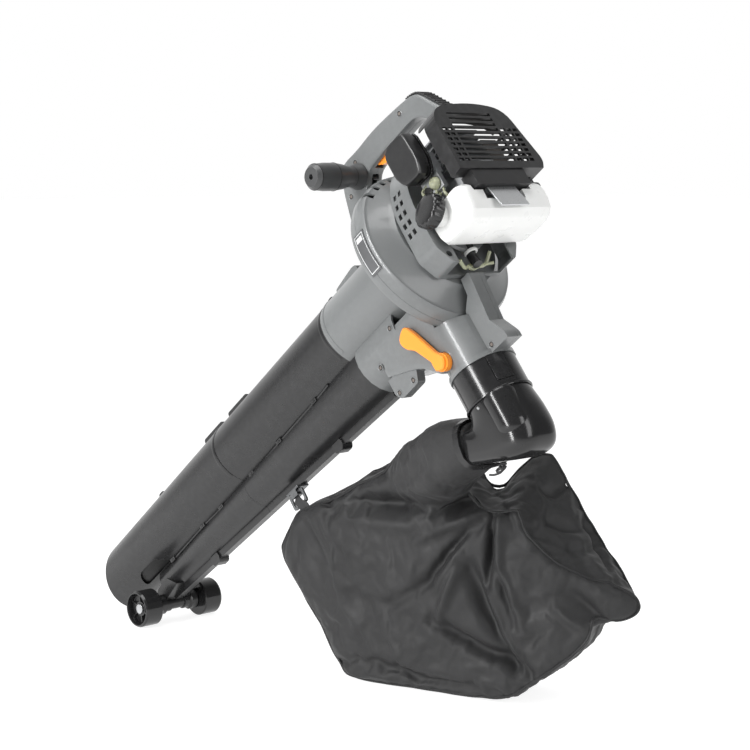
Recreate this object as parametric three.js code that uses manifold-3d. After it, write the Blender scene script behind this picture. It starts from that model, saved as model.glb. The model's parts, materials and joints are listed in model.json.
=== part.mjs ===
// Petrol leaf blower and vacuum, standing on its wheels and on its collection bag.
//
// Everything is modelled in the machine's own frame and turned once at the end:
//   a  along the crankshaft, the fan and the vacuum tube, towards the tube's mouth
//   y  towards the operator's left
//   u  square to both, from the bag elbow up to the handle
// The machine frame is a three.js frame with x = a, y = y, z = u. Sizes are in millimetres.

import * as THREE from 'three';
import { mergeVertices } from 'three/addons/utils/BufferGeometryUtils.js';
import Module from 'manifold-3d';

const wasm = await Module();
wasm.setup();

// ---------------------------------------------------------------- driving dimensions
const PITCH = THREE.MathUtils.degToRad(38.64); // how far the tube points below the horizontal when parked
const GAP = 0.3; // clearance between touching pieces
const WALL = 2.5; // moulded wall

const VAC = { start: 206, seam: 539, end: 962, rStart: 59.6, rEnd: 53.2, mouthTilt: 20 };
const BLOW = { start: 168, seam: 539, end: 848, rStart: 45.4, rEnd: 22.7, uStart: -69.3, uEnd: -65 };
const KEEL = { halfWidth: 7, depth: 10 };
const SOCKET = { end: VAC.start - GAP, outer: 60.5, spigot: 44 };
const FAN = { rim: 123, rear: -12, split: 8, front: 24, hub: 84, hubRear: -31 };
const IMPELLER = { r: 92, hubR: 20, back: -7, front: 15, blades: 8 };
const NECK = { a: 23.5, r: 46, end: -188 };
const ELBOW = { collarEnd: -236, halfWidth: 45 };
const LEVER = { a: 37, u: -161, face: 50, swing: 70 };
const WHEEL = { a: 863, u: -96, r: 30, inner: 40, outer: 78 };
const MOUNT = { front: -32, rear: -72, halfWidth: 79, top: 112, bottom: -72 };
const CRANK = { r: 7.5, cylinderA: -108, throw: 14 };
const CAP = { a: -98, y: 70, u: -14, turn: THREE.MathUtils.degToRad(23) };
const SHROUD = { rear: -166, front: -92, left: 71, right: -92, top: 121, bottom: 12 };
const GRIP = { a: 43, u: 162, r: 20, root: 19, end: 108 };
const HANDLE_HALF = 16; // half of the handle's width
const STARTER = { a: -125, u: 10, wall: -89 }; // where the rope leaves the shroud's right wall

const SEG = 24; // sides of a large round
const FINE = 14; // sides of a small round

// ---------------------------------------------------------------- finishes
const COLOURS = {
  gray: [0x85898a, 0.45, 0],
  black: [0x303132, 0.5, 0],
  dark: [0x3b3c3d, 0.5, 0],
  rubber: [0x1c1c1d, 0.85, 0],
  orange: [0xf58a2a, 0.45, 0],
  white: [0xf2f3f1, 0.35, 0],
  clear: [0xc9cdb6, 0.3, 0],
  steel: [0xb4b7ba, 0.3, 0.9],
  cast: [0x9a9c9e, 0.5, 0.8],
  iron: [0x55504c, 0.6, 0.6],
  foam: [0x2b2c2a, 0.95, 0],
  fabric: [0x2c2d2e, 0.9, 0],
  plate: [0x8e9192, 0.4, 0.1],
};

const machine = new THREE.Group();

function add(name, geometry, colour) {
  const [hex, roughness, metalness] = COLOURS[colour];
  const material = new THREE.MeshStandardMaterial({ color: hex, roughness, metalness });
  const mesh = new THREE.Mesh(geometry, material);
  mesh.name = name;
  machine.add(mesh);
  return mesh;
}

// ---------------------------------------------------------------- solid helpers
function solid(geometry) {
  const bare = geometry.index ? geometry.toNonIndexed() : geometry.clone();
  bare.deleteAttribute('normal');
  bare.deleteAttribute('uv');
  const merged = mergeVertices(bare, 1e-4);
  const vertProperties = new Float32Array(merged.attributes.position.array);
  const triVerts = new Uint32Array(merged.index.array);
  const make = () => new wasm.Manifold(new wasm.Mesh({ numProp: 3, vertProperties, triVerts }));
  const body = make();
  if (body.volume() > 0) return body;
  for (let i = 0; i < triVerts.length; i += 3) {
    [triVerts[i + 1], triVerts[i + 2]] = [triVerts[i + 2], triVerts[i + 1]];
  }
  return make();
}

function geometryOf(body) {
  const mesh = body.getMesh();
  const geometry = new THREE.BufferGeometry();
  geometry.setAttribute('position', new THREE.BufferAttribute(new Float32Array(mesh.vertProperties), 3));
  geometry.setIndex(new THREE.BufferAttribute(new Uint32Array(mesh.triVerts), 1));
  return geometry;
}

const asSolid = (shape) => (shape.isBufferGeometry ? solid(shape) : shape);
const join = (first, ...rest) => rest.reduce((sum, shape) => sum.add(asSolid(shape)), asSolid(first));
const cut = (first, ...rest) => rest.reduce((left, shape) => left.subtract(asSolid(shape)), asSolid(first));
const mirrored = (shape) => asSolid(shape).mirror([0, 1, 0]);
const common = (first, second) => asSolid(first).intersect(asSolid(second));

// ---------------------------------------------------------------- shape helpers
// A box given by its two ends along each machine axis.
function box([a0, a1], [y0, y1], [u0, u1]) {
  const geometry = new THREE.BoxGeometry(Math.abs(a1 - a0), Math.abs(y1 - y0), Math.abs(u1 - u0));
  return geometry.translate((a0 + a1) / 2, (y0 + y1) / 2, (u0 + u1) / 2);
}

// Rounds turned about each axis; a profile is a list of [radius, place along the axis].
function latheA(profile, segments = SEG) {
  return new THREE.LatheGeometry(
    profile.map(([r, t]) => new THREE.Vector2(r, t)), segments,
  ).rotateZ(-Math.PI / 2);
}
function latheY(profile, segments = FINE) {
  return new THREE.LatheGeometry(profile.map(([r, t]) => new THREE.Vector2(r, t)), segments);
}
function latheU(profile, segments = SEG) {
  return new THREE.LatheGeometry(
    profile.map(([r, t]) => new THREE.Vector2(r, t)), segments,
  ).rotateX(Math.PI / 2);
}

const rod = (r, t0, t1) => [[0, t0], [r, t0], [r, t1], [0, t1]];
const ring = (rIn, rOut, t0, t1) => [[rIn, t0], [rOut, t0], [rOut, t1], [rIn, t1], [rIn, t0]];

// A flat outline pulled along an axis. Outlines are THREE.Shape in the two other axes.
function extrudeA(shape, a0, a1, steps = 1, curveSegments = 8) {
  const options = { depth: a1 - a0, steps, bevelEnabled: false, curveSegments };
  const geometry = new THREE.ExtrudeGeometry(shape, options);
  const turn = new THREE.Matrix4().makeBasis(
    new THREE.Vector3(0, 1, 0), new THREE.Vector3(0, 0, 1), new THREE.Vector3(1, 0, 0));
  return geometry.applyMatrix4(turn).translate(a0, 0, 0);
}
function extrudeY(shape, y0, y1, curveSegments = 4) {
  const options = { depth: y1 - y0, bevelEnabled: false, curveSegments };
  return new THREE.ExtrudeGeometry(shape, options).rotateX(Math.PI / 2).translate(0, y1, 0);
}
// A closed outline through points; a third number on a point is the radius that rounds it.
function outline(points) {
  const shape = new THREE.Shape();
  const count = points.length;
  points.forEach(([x, y, radius = 0], i) => {
    const here = new THREE.Vector2(x, y);
    const towards = ([px, py]) => {
      const way = new THREE.Vector2(px, py).sub(here);
      return way.setLength(Math.min(radius, 0.48 * way.length())).add(here);
    };
    const before = towards(points[(i + count - 1) % count]);
    const after = towards(points[(i + 1) % count]);
    if (i === 0) shape.moveTo(before.x, before.y);
    else shape.lineTo(before.x, before.y);
    if (radius > 0) shape.quadraticCurveTo(x, y, after.x, after.y);
  });
  shape.closePath();
  return shape;
}

// The same points moved inwards by a distance, or outwards by a negative one.
function inset(points, distance) {
  const count = points.length;
  const area = points.reduce((sum, [x, y], i) => {
    const [nx, ny] = points[(i + 1) % count];
    return sum + x * ny - nx * y;
  }, 0);
  const turn = Math.sign(area) * distance;
  return points.map(([x, y, radius], i) => {
    const [px, py] = points[(i + count - 1) % count];
    const [nx, ny] = points[(i + 1) % count];
    const a = new THREE.Vector2(py - y, x - px).normalize();
    const b = new THREE.Vector2(y - ny, nx - x).normalize();
    const k = turn / (1 + a.dot(b));
    return [x + (a.x + b.x) * k, y + (a.y + b.y) * k, radius];
  });
}

// A round bar along a smooth path through points, with 8 sides.
function bar(points, radius, steps) {
  const path = new THREE.CatmullRomCurve3(points.map((p) => new THREE.Vector3(...p)), false, 'centripetal');
  const section = new THREE.Shape().absarc(0, 0, radius, 0, 2 * Math.PI);
  return new THREE.ExtrudeGeometry(
    section, { extrudePath: path, steps, curveSegments: 4, bevelEnabled: false },
  );
}

// Join equal loops of points into one closed skin with capped ends.
function loft(loops) {
  const count = loops[0].length;
  const index = [];
  for (let k = 0; k + 1 < loops.length; k += 1) {
    for (let i = 0; i < count; i += 1) {
      const j = (i + 1) % count;
      const p = k * count;
      const q = p + count;
      index.push(p + i, p + j, q + j, p + i, q + j, q + i);
    }
  }
  // Each cap is cut into triangles in a plane laid through its own loop.
  for (const k of [0, loops.length - 1]) {
    const points = loops[k].map((p) => new THREE.Vector3(...p));
    const normal = new THREE.Vector3();
    points.forEach((p, i) => normal.add(p.clone().cross(points[(i + 1) % count])));
    normal.normalize();
    const x = points[1].clone().sub(points[0]);
    x.addScaledVector(normal, -x.dot(normal)).normalize();
    const y = normal.clone().cross(x);
    const plane = points.map((p) => new THREE.Vector2(p.dot(x), p.dot(y)));
    for (const [a, b, c] of THREE.ShapeUtils.triangulateShape(plane, [])) {
      const base = k * count;
      if (k === 0) index.push(base + c, base + b, base + a);
      else index.push(base + a, base + b, base + c);
    }
  }
  const geometry = new THREE.BufferGeometry();
  geometry.setAttribute('position', new THREE.BufferAttribute(new Float32Array(loops.flat(2)), 3));
  geometry.setIndex(index);
  return solid(geometry);
}

// A plate of (a, u) outline points pulled along y, with its edges rounded off.
function roundedPlate(points, y0, y1, edge, curveSegments = 4, steps = 2) {
  const layers = [];
  for (let i = 0; i <= steps; i += 1) {
    const angle = (i / steps) * (Math.PI / 2);
    layers.push([edge * (1 - Math.cos(angle)), edge * (1 - Math.sin(angle))]);
  }
  const sides = [
    ...layers.map(([depth, inwards]) => [y0 + depth, inwards]),
    ...layers.reverse().map(([depth, inwards]) => [y1 - depth, inwards]),
  ];
  return loft(sides.map(([y, inwards]) => {
    const loop = outline(inset(points, inwards)).getPoints(curveSegments);
    if (loop[0].distanceTo(loop.at(-1)) < 1e-6) loop.pop();
    return loop.map((p) => [p.x, y, p.y]);
  }));
}

// Place a geometry drawn about the origin.
const at = (geometry, a, y, u) => geometry.translate(a, y, u);
const LONG = 2000;
const leftSide = () => box([-LONG, LONG], [GAP / 2, LONG], [-LONG, LONG]);
const rightSide = () => box([-LONG, LONG], [-LONG, -GAP / 2], [-LONG, LONG]);

// ---------------------------------------------------------------- vacuum tube
const lerp = (x, x0, x1, y0, y1) => y0 + ((x - x0) / (x1 - x0)) * (y1 - y0);
const vacRadius = (a) => lerp(a, VAC.start, VAC.end, VAC.rStart, VAC.rEnd);
const blowRadius = (a) => lerp(a, BLOW.start, BLOW.end, BLOW.rStart, BLOW.rEnd);
const blowCentre = (a) => lerp(a, BLOW.start, BLOW.end, BLOW.uStart, BLOW.uEnd);
const keelBottom = (a) => blowCentre(a) - blowRadius(a) - KEEL.depth;

// The tapered space inside the tube's outer skin, grown or shrunk by an offset.
function vacSkin(a0, a1, offset) {
  return latheA([[0, a0], [vacRadius(a0) + offset, a0], [vacRadius(a1) + offset, a1], [0, a1]]);
}

function vacSection(a0, a1, spigotLength) {
  const body = cut(vacSkin(a0, a1, 0), vacSkin(a0 - 1, a1 + 1, -WALL));
  const spigot = cut(
    vacSkin(a0 - spigotLength, a0 + 6, -WALL - GAP),
    vacSkin(a0 - spigotLength - 1, a0 + 7, -2 * WALL),
  );
  const shoulder = cut(vacSkin(a0, a0 + 6, -WALL / 2), vacSkin(a0 - 1, a0 + 7, -2 * WALL));
  return join(body, spigot, shoulder);
}

// A clip lug that joins the two halves along the top of the tube.
function topLug(a, length, height) {
  const r = vacRadius(a);
  const shape = outline([
    [-length / 2, -1.8], [length / 2, -1.8], [length / 2, height, 5], [-length / 2, height, 5],
  ]);
  return at(extrudeY(shape, -7, 7), a, 0, r);
}

// The mouth is cut slantwise, so that the top edge reaches further than the bottom edge.
function mouthCutter() {
  const slab = box([0, 200], [-100, 100], [-200, 200]);
  slab.rotateY(THREE.MathUtils.degToRad(-VAC.mouthTilt));
  const centre = VAC.end - VAC.rEnd * Math.tan(THREE.MathUtils.degToRad(VAC.mouthTilt));
  return slab.translate(centre, 0, 0);
}

// A bleed opening low on the left of the mouth lets air in when leaves block the end.
function bleedCutter() {
  const arch = outline([[-46, -13], [46, -13, 10], [30, 13, 16], [-30, 12, 16]]);
  return extrudeY(arch, 0, 30).rotateX(THREE.MathUtils.degToRad(-52)).translate(838, 24, -31);
}

function buildVacTube() {
  const upper = join(
    vacSection(VAC.start, VAC.seam - GAP, SOCKET.spigot), topLug(214, 14, 9), topLug(500, 60, 11),
  );
  const lowerRaw = join(
    vacSection(VAC.seam, VAC.end, 28), topLug(580, 60, 11), topLug(768, 16, 8), topLug(935, 16, 8),
  );
  const lower = cut(lowerRaw, mouthCutter(), bleedCutter());
  for (const [name, body] of [['vac_tube_upper', upper], ['vac_tube_lower', lower]]) {
    add(`${name}_left`, geometryOf(common(body, leftSide())), 'black');
    add(`${name}_right`, geometryOf(common(body, rightSide())), 'black');
  }
}

// ---------------------------------------------------------------- blower duct
function blowSkin(a0, a1, offset) {
  const drop = blowCentre(a1) - blowCentre(a0);
  const shear = new THREE.Matrix4().set(1, 0, 0, 0, 0, 1, 0, 0, drop / (a1 - a0), 0, 1, 0, 0, 0, 0, 1);
  const cone = latheA(
    [[0, 0], [blowRadius(a0) + offset, 0], [blowRadius(a1) + offset, a1 - a0], [0, a1 - a0]], 20,
  );
  return at(cone.applyMatrix4(shear), a0, 0, blowCentre(a0));
}

function keel(a0, a1) {
  const w = KEEL.halfWidth;
  const shape = outline([
    [a0, keelBottom(a0)], [a1, keelBottom(a1)], [a1, keelBottom(a1) + 18], [a0, keelBottom(a0) + 18],
  ]);
  return extrudeY(shape, -w, w);
}

function keelBoss(a) {
  const shape = outline([[-13, 0, 4], [-8, -9, 4], [8, -9, 4], [13, 0, 4], [10, 8], [-10, 8]]);
  return at(extrudeY(shape, -10, 10), a, 0, keelBottom(a) + 3);
}

// The duct is a trough that closes against the underside of the vacuum tube.
function blowSection(a0, a1, spigotLength, bosses) {
  let shell = join(blowSkin(a0, a1, 0), keel(Math.max(a0, 187), a1));
  for (const a of bosses) shell = join(shell, keelBoss(a));
  shell = cut(shell, blowSkin(a0 - 1, a1 + 1, -WALL));
  if (spigotLength > 0) {
    const outer = blowSkin(a0 - spigotLength, a0 + 6, -WALL - GAP);
    const inner = blowSkin(a0 - spigotLength - 1, a0 + 7, -2 * WALL);
    const shoulder = cut(blowSkin(a0, a0 + 6, -WALL / 2), blowSkin(a0 - 1, a0 + 7, -2 * WALL));
    shell = join(shell, cut(outer, inner), shoulder);
  }
  return cut(shell, vacSkin(120, 1000, GAP), latheA(rod(SOCKET.outer + GAP, 100, SOCKET.end + GAP), 30));
}

function buildBlowTube() {
  add('blow_duct_upper', geometryOf(blowSection(BLOW.start, BLOW.seam - GAP, 0, [335])), 'black');
  add('blow_duct_lower', geometryOf(blowSection(BLOW.seam, BLOW.end, 22, [706])), 'black');
}

// ---------------------------------------------------------------- wheels
function buildWheels() {
  const { a, u, r, inner, outer } = WHEEL;
  add('axle', at(latheY(rod(5, -outer + 12, outer - 12), 16), a, 0, u), 'steel');

  // The bracket hangs from the duct's end and holds the axle in a round sleeve.
  const sleeve = at(latheY(ring(5 + GAP, 11, -inner + 1.5, inner - 1.5), 24), a, 0, u);
  const web = extrudeY(
    outline([[806, -88], [846, -94], [a + 9, u - 4], [a + 9, u + 6, 4], [a, -70, 6], [826, -66]]), -24, 24,
  );
  const saddle = cut(join(web, sleeve), at(latheY(rod(5 + GAP, -60, 60), 24), a, 0, u));
  const clear = join(
    vacSkin(700, 1000, GAP), blowSkin(700, BLOW.end + 0.5, GAP), keel(700, BLOW.end + 0.5),
  );
  add('axle_bracket', geometryOf(cut(saddle, clear)), 'black');

  const profile = [
    [5 + GAP, inner], [16, inner], [16, inner + 4], [r - 2, inner + 4], [r, inner + 6],
    [r, outer - 3], [r - 2, outer], [r - 4, outer], [r - 6, outer - 11], [12, outer - 14],
    [12, outer - 8], [5 + GAP, outer - 8], [5 + GAP, inner],
  ];
  const spoke = () => box([10, r - 4.5], [outer - 15, outer - 8], [-1.2, 1.2]);
  for (const [name, side] of [['wheel_left', 1], ['wheel_right', -1]]) {
    let wheel = asSolid(latheY(profile, 20));
    for (let i = 0; i < 6; i += 1) wheel = join(wheel, spoke().rotateY((i * Math.PI) / 3));
    add(name, at(geometryOf(side > 0 ? wheel : mirrored(wheel)), a, 0, u), 'black');
    const cap = [[0, outer - 7.5], [9, outer - 7.5], [8, outer - 5], [0, outer - 4]];
    const button = side > 0 ? asSolid(latheY(cap, 16)) : mirrored(latheY(cap, 16));
    add(name.replace('wheel', 'wheel_cap'), at(geometryOf(button), a, 0, u), 'steel');
  }
}

// ---------------------------------------------------------------- fan housing
const fanPort = () => box([-6, 17], [-34, 34], [-140, -70]);

function buildFanHousing() {
  const { rim, rear, split, front, hub, hubRear } = FAN;
  const w = WALL;
  const frontProfile = [
    [SOCKET.outer, SOCKET.end], [SOCKET.outer, 46], [70, 34], [rim - 12, front + 4], [rim - 3, front],
    [rim, front - 7], [rim, split + GAP], [rim - w, split + GAP], [rim - w, front - 8],
    [rim - 12, front + 1], [68, 31], [SOCKET.outer - w, 43],
    [SOCKET.outer - w, SOCKET.end], [SOCKET.outer, SOCKET.end],
  ];
  const lug = at(
    extrudeY(outline([[-30, -4], [30, -4], [28, 8, 4], [-20, 14, 5], [-30, 12, 4]]), -9, 9), 165, 0,
    SOCKET.outer,
  );
  const lugBore = latheA(rod(SOCKET.outer - w, 120, SOCKET.end + 1));
  const frontShell = cut(join(latheA(frontProfile, 30), cut(lug, lugBore)), fanPort());
  add('fan_housing_front', geometryOf(frontShell), 'gray');

  const rearProfile = [
    [rim, split], [rim, rear + 7], [rim - 3, rear + 1], [rim - 8, rear], [hub + 8, hubRear + 7],
    [hub, hubRear], [CRANK.r + 6, hubRear], [CRANK.r + 6, hubRear + w], [hub - 1, hubRear + w],
    [rim - 9, rear + w], [rim - w, rear + 8], [rim - w, split], [rim, split],
  ];
  let rearShell = cut(latheA(rearProfile, 30), fanPort());
  // Four air slots over the corner of the rim, beside the handle's foot.
  for (const angle of [-42, -31, -22, -13]) {
    const slot = box([rear - 2, 0], [-4.5, 4.5], [108, rim + 3]);
    rearShell = cut(rearShell, slot.rotateX(THREE.MathUtils.degToRad(angle)));
  }
  add('fan_housing_rear', geometryOf(rearShell), 'gray');

  const plate = cut(
    latheA(ring(rim + GAP, rim + 1.1, -6, 16), 120), box([-50, 50], [-200, 105], [-200, 200]),
  );
  const trimmed = common(plate, box([-6, 16], [0, 200], [-31, 35]));
  add('rating_plate', geometryOf(trimmed), 'plate');
}

// ---------------------------------------------------------------- junction duct and neck
function junctionOuter(offset) {
  const half = 48 + offset;
  const o = offset;
  const bodyPoints = [
    [150, -60], [12, -60], [12, -100], [11, -150, 10],
    [18, -176, 14], [58, -172, 24], [84, -142, 22], [150, -116],
  ];
  const body = roundedPlate(inset(bodyPoints, -o), -half, half, 12 + o, 3);
  const neck = at(latheU(rod(NECK.r + o, NECK.end, -60), 20), NECK.a, 0, 0);
  const socketR = BLOW.rStart + WALL + GAP + o;
  const socket = at(latheA(rod(socketR, 90, 190), 20), 0, 0, BLOW.uStart);
  return join(body, neck, socket);
}

function buildJunction() {
  const lugShape = outline([
    [94, -136], [102, -152, 4], [142, -153, 5], [151, -142, 4], [151, -117], [94, -117],
  ]);
  const bottomLug = extrudeY(lugShape, 28, 43);
  // A strut runs up from the neck, behind the housing, to the foot of the engine mount.
  const strut = cut(
    extrudeY(
      outline([
        [-34, -76], [-52, -76, 3], [-44, -150], [-58, -178, 5], [-58, -187], [-10, -187], [-10, -120],
        [-31, -100],
      ]),
      -8, 20,
    ),
    latheA([[0, FAN.hubRear - GAP], [FAN.hub + 1, FAN.hubRear - GAP], [FAN.hub + 9, FAN.hubRear + 7 - GAP],
      [FAN.rim - 7, FAN.rear - GAP], [FAN.rim + GAP, FAN.rear], [FAN.rim + GAP, 60], [0, 60]], 30),
    box([-80, -20], [-30, 30], [MOUNT.bottom - GAP - 0.1, 0]),
  );
  const lip = at(latheU(ring(NECK.r - 1, NECK.r + 3.5, NECK.end, NECK.end + 7), 24), NECK.a, 0, 0);
  const outer = join(junctionOuter(0), bottomLug, lip);
  const hollow = join(
    cut(junctionOuter(-3), box([-200, 200], [-80, 80], [NECK.end + 2, -300])),
    at(latheU(rod(NECK.r - 3, NECK.end - 5, -100), 24), NECK.a, 0, 0),
    at(latheA(rod(BLOW.rStart - WALL, 80, 200), 24), 0, 0, BLOW.uStart),
  );
  const seat = at(latheA(rod(BLOW.rStart + 3 * GAP, BLOW.start - GAP, 220), 24), 0, 0, BLOW.uStart);
  const fanClear = join(
    latheA(rod(FAN.rim + GAP, FAN.rear - 40, FAN.front + GAP), 30),
    latheA(
      [
        [0, FAN.front], [FAN.rim - 2, FAN.front + GAP], [FAN.rim - 12, FAN.front + 4.5], [71, 35],
        [SOCKET.outer + GAP, 47], [SOCKET.outer + GAP, 220], [0, 220],
      ],
      30,
    ),
  );
  const pivot = at(latheY(rod(6.5, -80, 80), 20), LEVER.a, 0, LEVER.u);
  const dish = at(latheY(rod(14.5, 45.5, 60), 20), LEVER.a, 0, LEVER.u);
  const face = box([186, 260], [-90, 90], [-200, 20]);
  const whole = join(cut(outer, hollow, seat, fanClear, pivot, dish, face), cut(strut, hollow));
  add('junction_left', geometryOf(common(whole, leftSide())), 'gray');
  add('junction_right', geometryOf(common(whole, rightSide())), 'gray');
}

// ---------------------------------------------------------------- mode lever and flap
function buildModeLever() {
  const lean = THREE.MathUtils.degToRad(27); // the arm leans forward from the neck's direction
  const arm = roundedPlate([
    [-12, -6, 8], [4, -12, 6], [14, 0, 3], [7, 14], [8, 50, 6], [15, 62, 8], [14, 82, 10], [-12, 84, 10],
    [-13, 62, 8], [-9, 14],
  ], 51, 60, 1.5, 3, 1);
  const hub = latheY(rod(13, 46, 55), 24);
  const boss = latheY(rod(6, 38, 50), 16);
  const lever = join(arm, hub, boss);
  add('mode_lever', at(geometryOf(lever).rotateY(lean), LEVER.a, 0, LEVER.u), 'orange');

  const shaft = latheY(rod(6, -50, 38 - GAP), 16);
  const plate = extrudeA(
    outline([[-36, -4], [36, -4], [34, 18, 6], [20, 30, 8], [-20, 30, 8], [-34, 18, 6]]), -1.5, 1.5,
  );
  add('diverter_flap', at(geometryOf(join(shaft, plate)).rotateY(lean), LEVER.a, 0, LEVER.u), 'dark');
}

// ---------------------------------------------------------------- elbow
function buildElbow() {
  const { collarEnd, halfWidth } = ELBOW;
  const seam = NECK.end - GAP;
  const collarOuter = at(latheU(rod(NECK.r + 1.5, collarEnd, seam), 24), NECK.a, 0, 0);
  const collarInner = at(latheU(rod(NECK.r - 1.5, collarEnd - 1, seam + 1), 24), NECK.a, 0, 0);
  const tabWindow = box([-60, 0], [-13, 13], [collarEnd + 9, seam + 1]);
  const latchTurn = THREE.MathUtils.degToRad(-22);
  const aboutNeck = (geometry) => geometry.rotateZ(latchTurn).translate(NECK.a, 0, 0);
  add('elbow_collar', geometryOf(cut(collarOuter, collarInner, aboutNeck(tabWindow))), 'black');

  // The latch tab is a tongue in the collar's window; pressing it in frees the elbow.
  const tongue = common(
    latheU(ring(NECK.r - 1.2, NECK.r + 2.6, collarEnd + 9 + GAP, seam - GAP), 24),
    box([-60, 0], [-13 + GAP, 13 - GAP], [collarEnd - 20, seam]),
  );
  add('elbow_latch', aboutNeck(geometryOf(tongue)), 'black');

  add('elbow', geometryOf(cut(elbowBody(0, 0), elbowBody(-3, 12))), 'black');
}

// Sections through the elbow: (a, u) of its front and back walls, and how square it is there.
const ELBOW_SECTIONS = [
  [69.5, -236.3, -22.5, -236.3, 1], [70, -243, -23.5, -250, 0.85], [71, -246, -23.5, -276, 0.7],
  [72, -246.8, -21, -305, 0.6], [73, -247, -7, -331, 0.55], [75, -246.5, 22, -327, 0.5],
  [77.5, -245.5, 58, -311, 0.5], [80, -244, 96, -294, 0.5],
];

// The elbow's body, grown by an offset, with both of its ends run out by a length.
function elbowBody(grow, runOut) {
  const loops = ELBOW_SECTIONS.map(([fa, fu, ba, bu, power]) => {
    const centre = new THREE.Vector2((fa + ba) / 2, (fu + bu) / 2);
    const reach = new THREE.Vector2(fa - ba, fu - bu).multiplyScalar(0.5);
    reach.setLength(reach.length() + grow);
    const wide = ELBOW.halfWidth + 1 - (1 - power) * 2 + grow;
    const points = [];
    for (let i = 0; i < 20; i += 1) {
      const angle = (i * Math.PI) / 10;
      const squarer = (v) => Math.sign(v) * Math.abs(v) ** power;
      const k = squarer(Math.cos(angle));
      points.push([centre.x + reach.x * k, wide * squarer(Math.sin(angle)), centre.y + reach.y * k]);
    }
    return points;
  });
  const moved = (loop, a, u) => loop.map((p) => [p[0] + a, p[1], p[2] + u]);
  if (runOut > 0) {
    loops.unshift(moved(loops[0], 0, runOut));
    loops.push(moved(loops.at(-1), runOut * 0.952, runOut * 0.305));
  }
  return loft(loops);
}

// ---------------------------------------------------------------- engine mount
function buildEngineMount() {
  const { front, rear, halfWidth: w, top, bottom } = MOUNT;
  const section = (grow) => outline([
    [w + grow, -46 - grow / 2, 6], [w + grow, 40, 30], [48 + grow, top + grow - 8, 34],
    [0, top + grow + 6, 40],
    [-48 - grow, top + grow - 8, 34], [-w - grow, 40, 30], [-w - grow, -46 - grow / 2, 6],
    [-60 - grow / 2, bottom - grow, 6], [60 + grow / 2, bottom - grow, 6],
  ]);
  const shell = cut(
    extrudeA(section(0), rear, front, 1, 4), extrudeA(section(-3), rear + 3, front + 1, 1, 4),
  );
  // The rear wall is open round the crankcase, and below it where the fuel hoses run.
  const crankHole = latheA(rod(52, rear - 5, rear + 8), 32);
  const hoseWindow = extrudeY(
    outline([[-80, -38], [-66, -38], [-39, -66], [-39, -90], [-80, -90]]), -56, 50,
  );
  const boss = at(latheA(rod(10, rear + 1, front)), 0, 61, -58);
  const bossBore = at(latheA(rod(5, rear - 5, front - 4)), 0, 61, -58);
  let mount = cut(
    join(cut(shell, crankHole, hoseWindow), common(boss, extrudeA(section(-1), rear, front, 1, 4))),
    bossBore,
  );
  for (const side of [1, -1]) {
    for (let row = 0; row < (side > 0 ? 2 : 1); row += 1) {
      for (let i = 0; i < 5; i += 1) {
        const u = 62 - i * 16;
        const a = rear + 17 + row * 11;
        mount = cut(mount, box([a, a + 6], [side * (w - 20), side * (w + 20)], [u - 8, u]));
      }
    }
  }
  add('engine_mount', geometryOf(mount), 'gray');
}

// ---------------------------------------------------------------- handle
const HANDLE_POINTS = [
  [106, 84], [104, 112, 8], [86, 168, 14], [66, 201, 16], [28, 197, 20], [-20, 199, 30], [-92, 190, 20],
  [-118, 184, 14], [-150, 126, 4], [-122, 126, 3], [-98, 156, 16], [-20, 158, 20], [26, 156, 12],
  [52, 126, 12], [58, 84],
];

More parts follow.
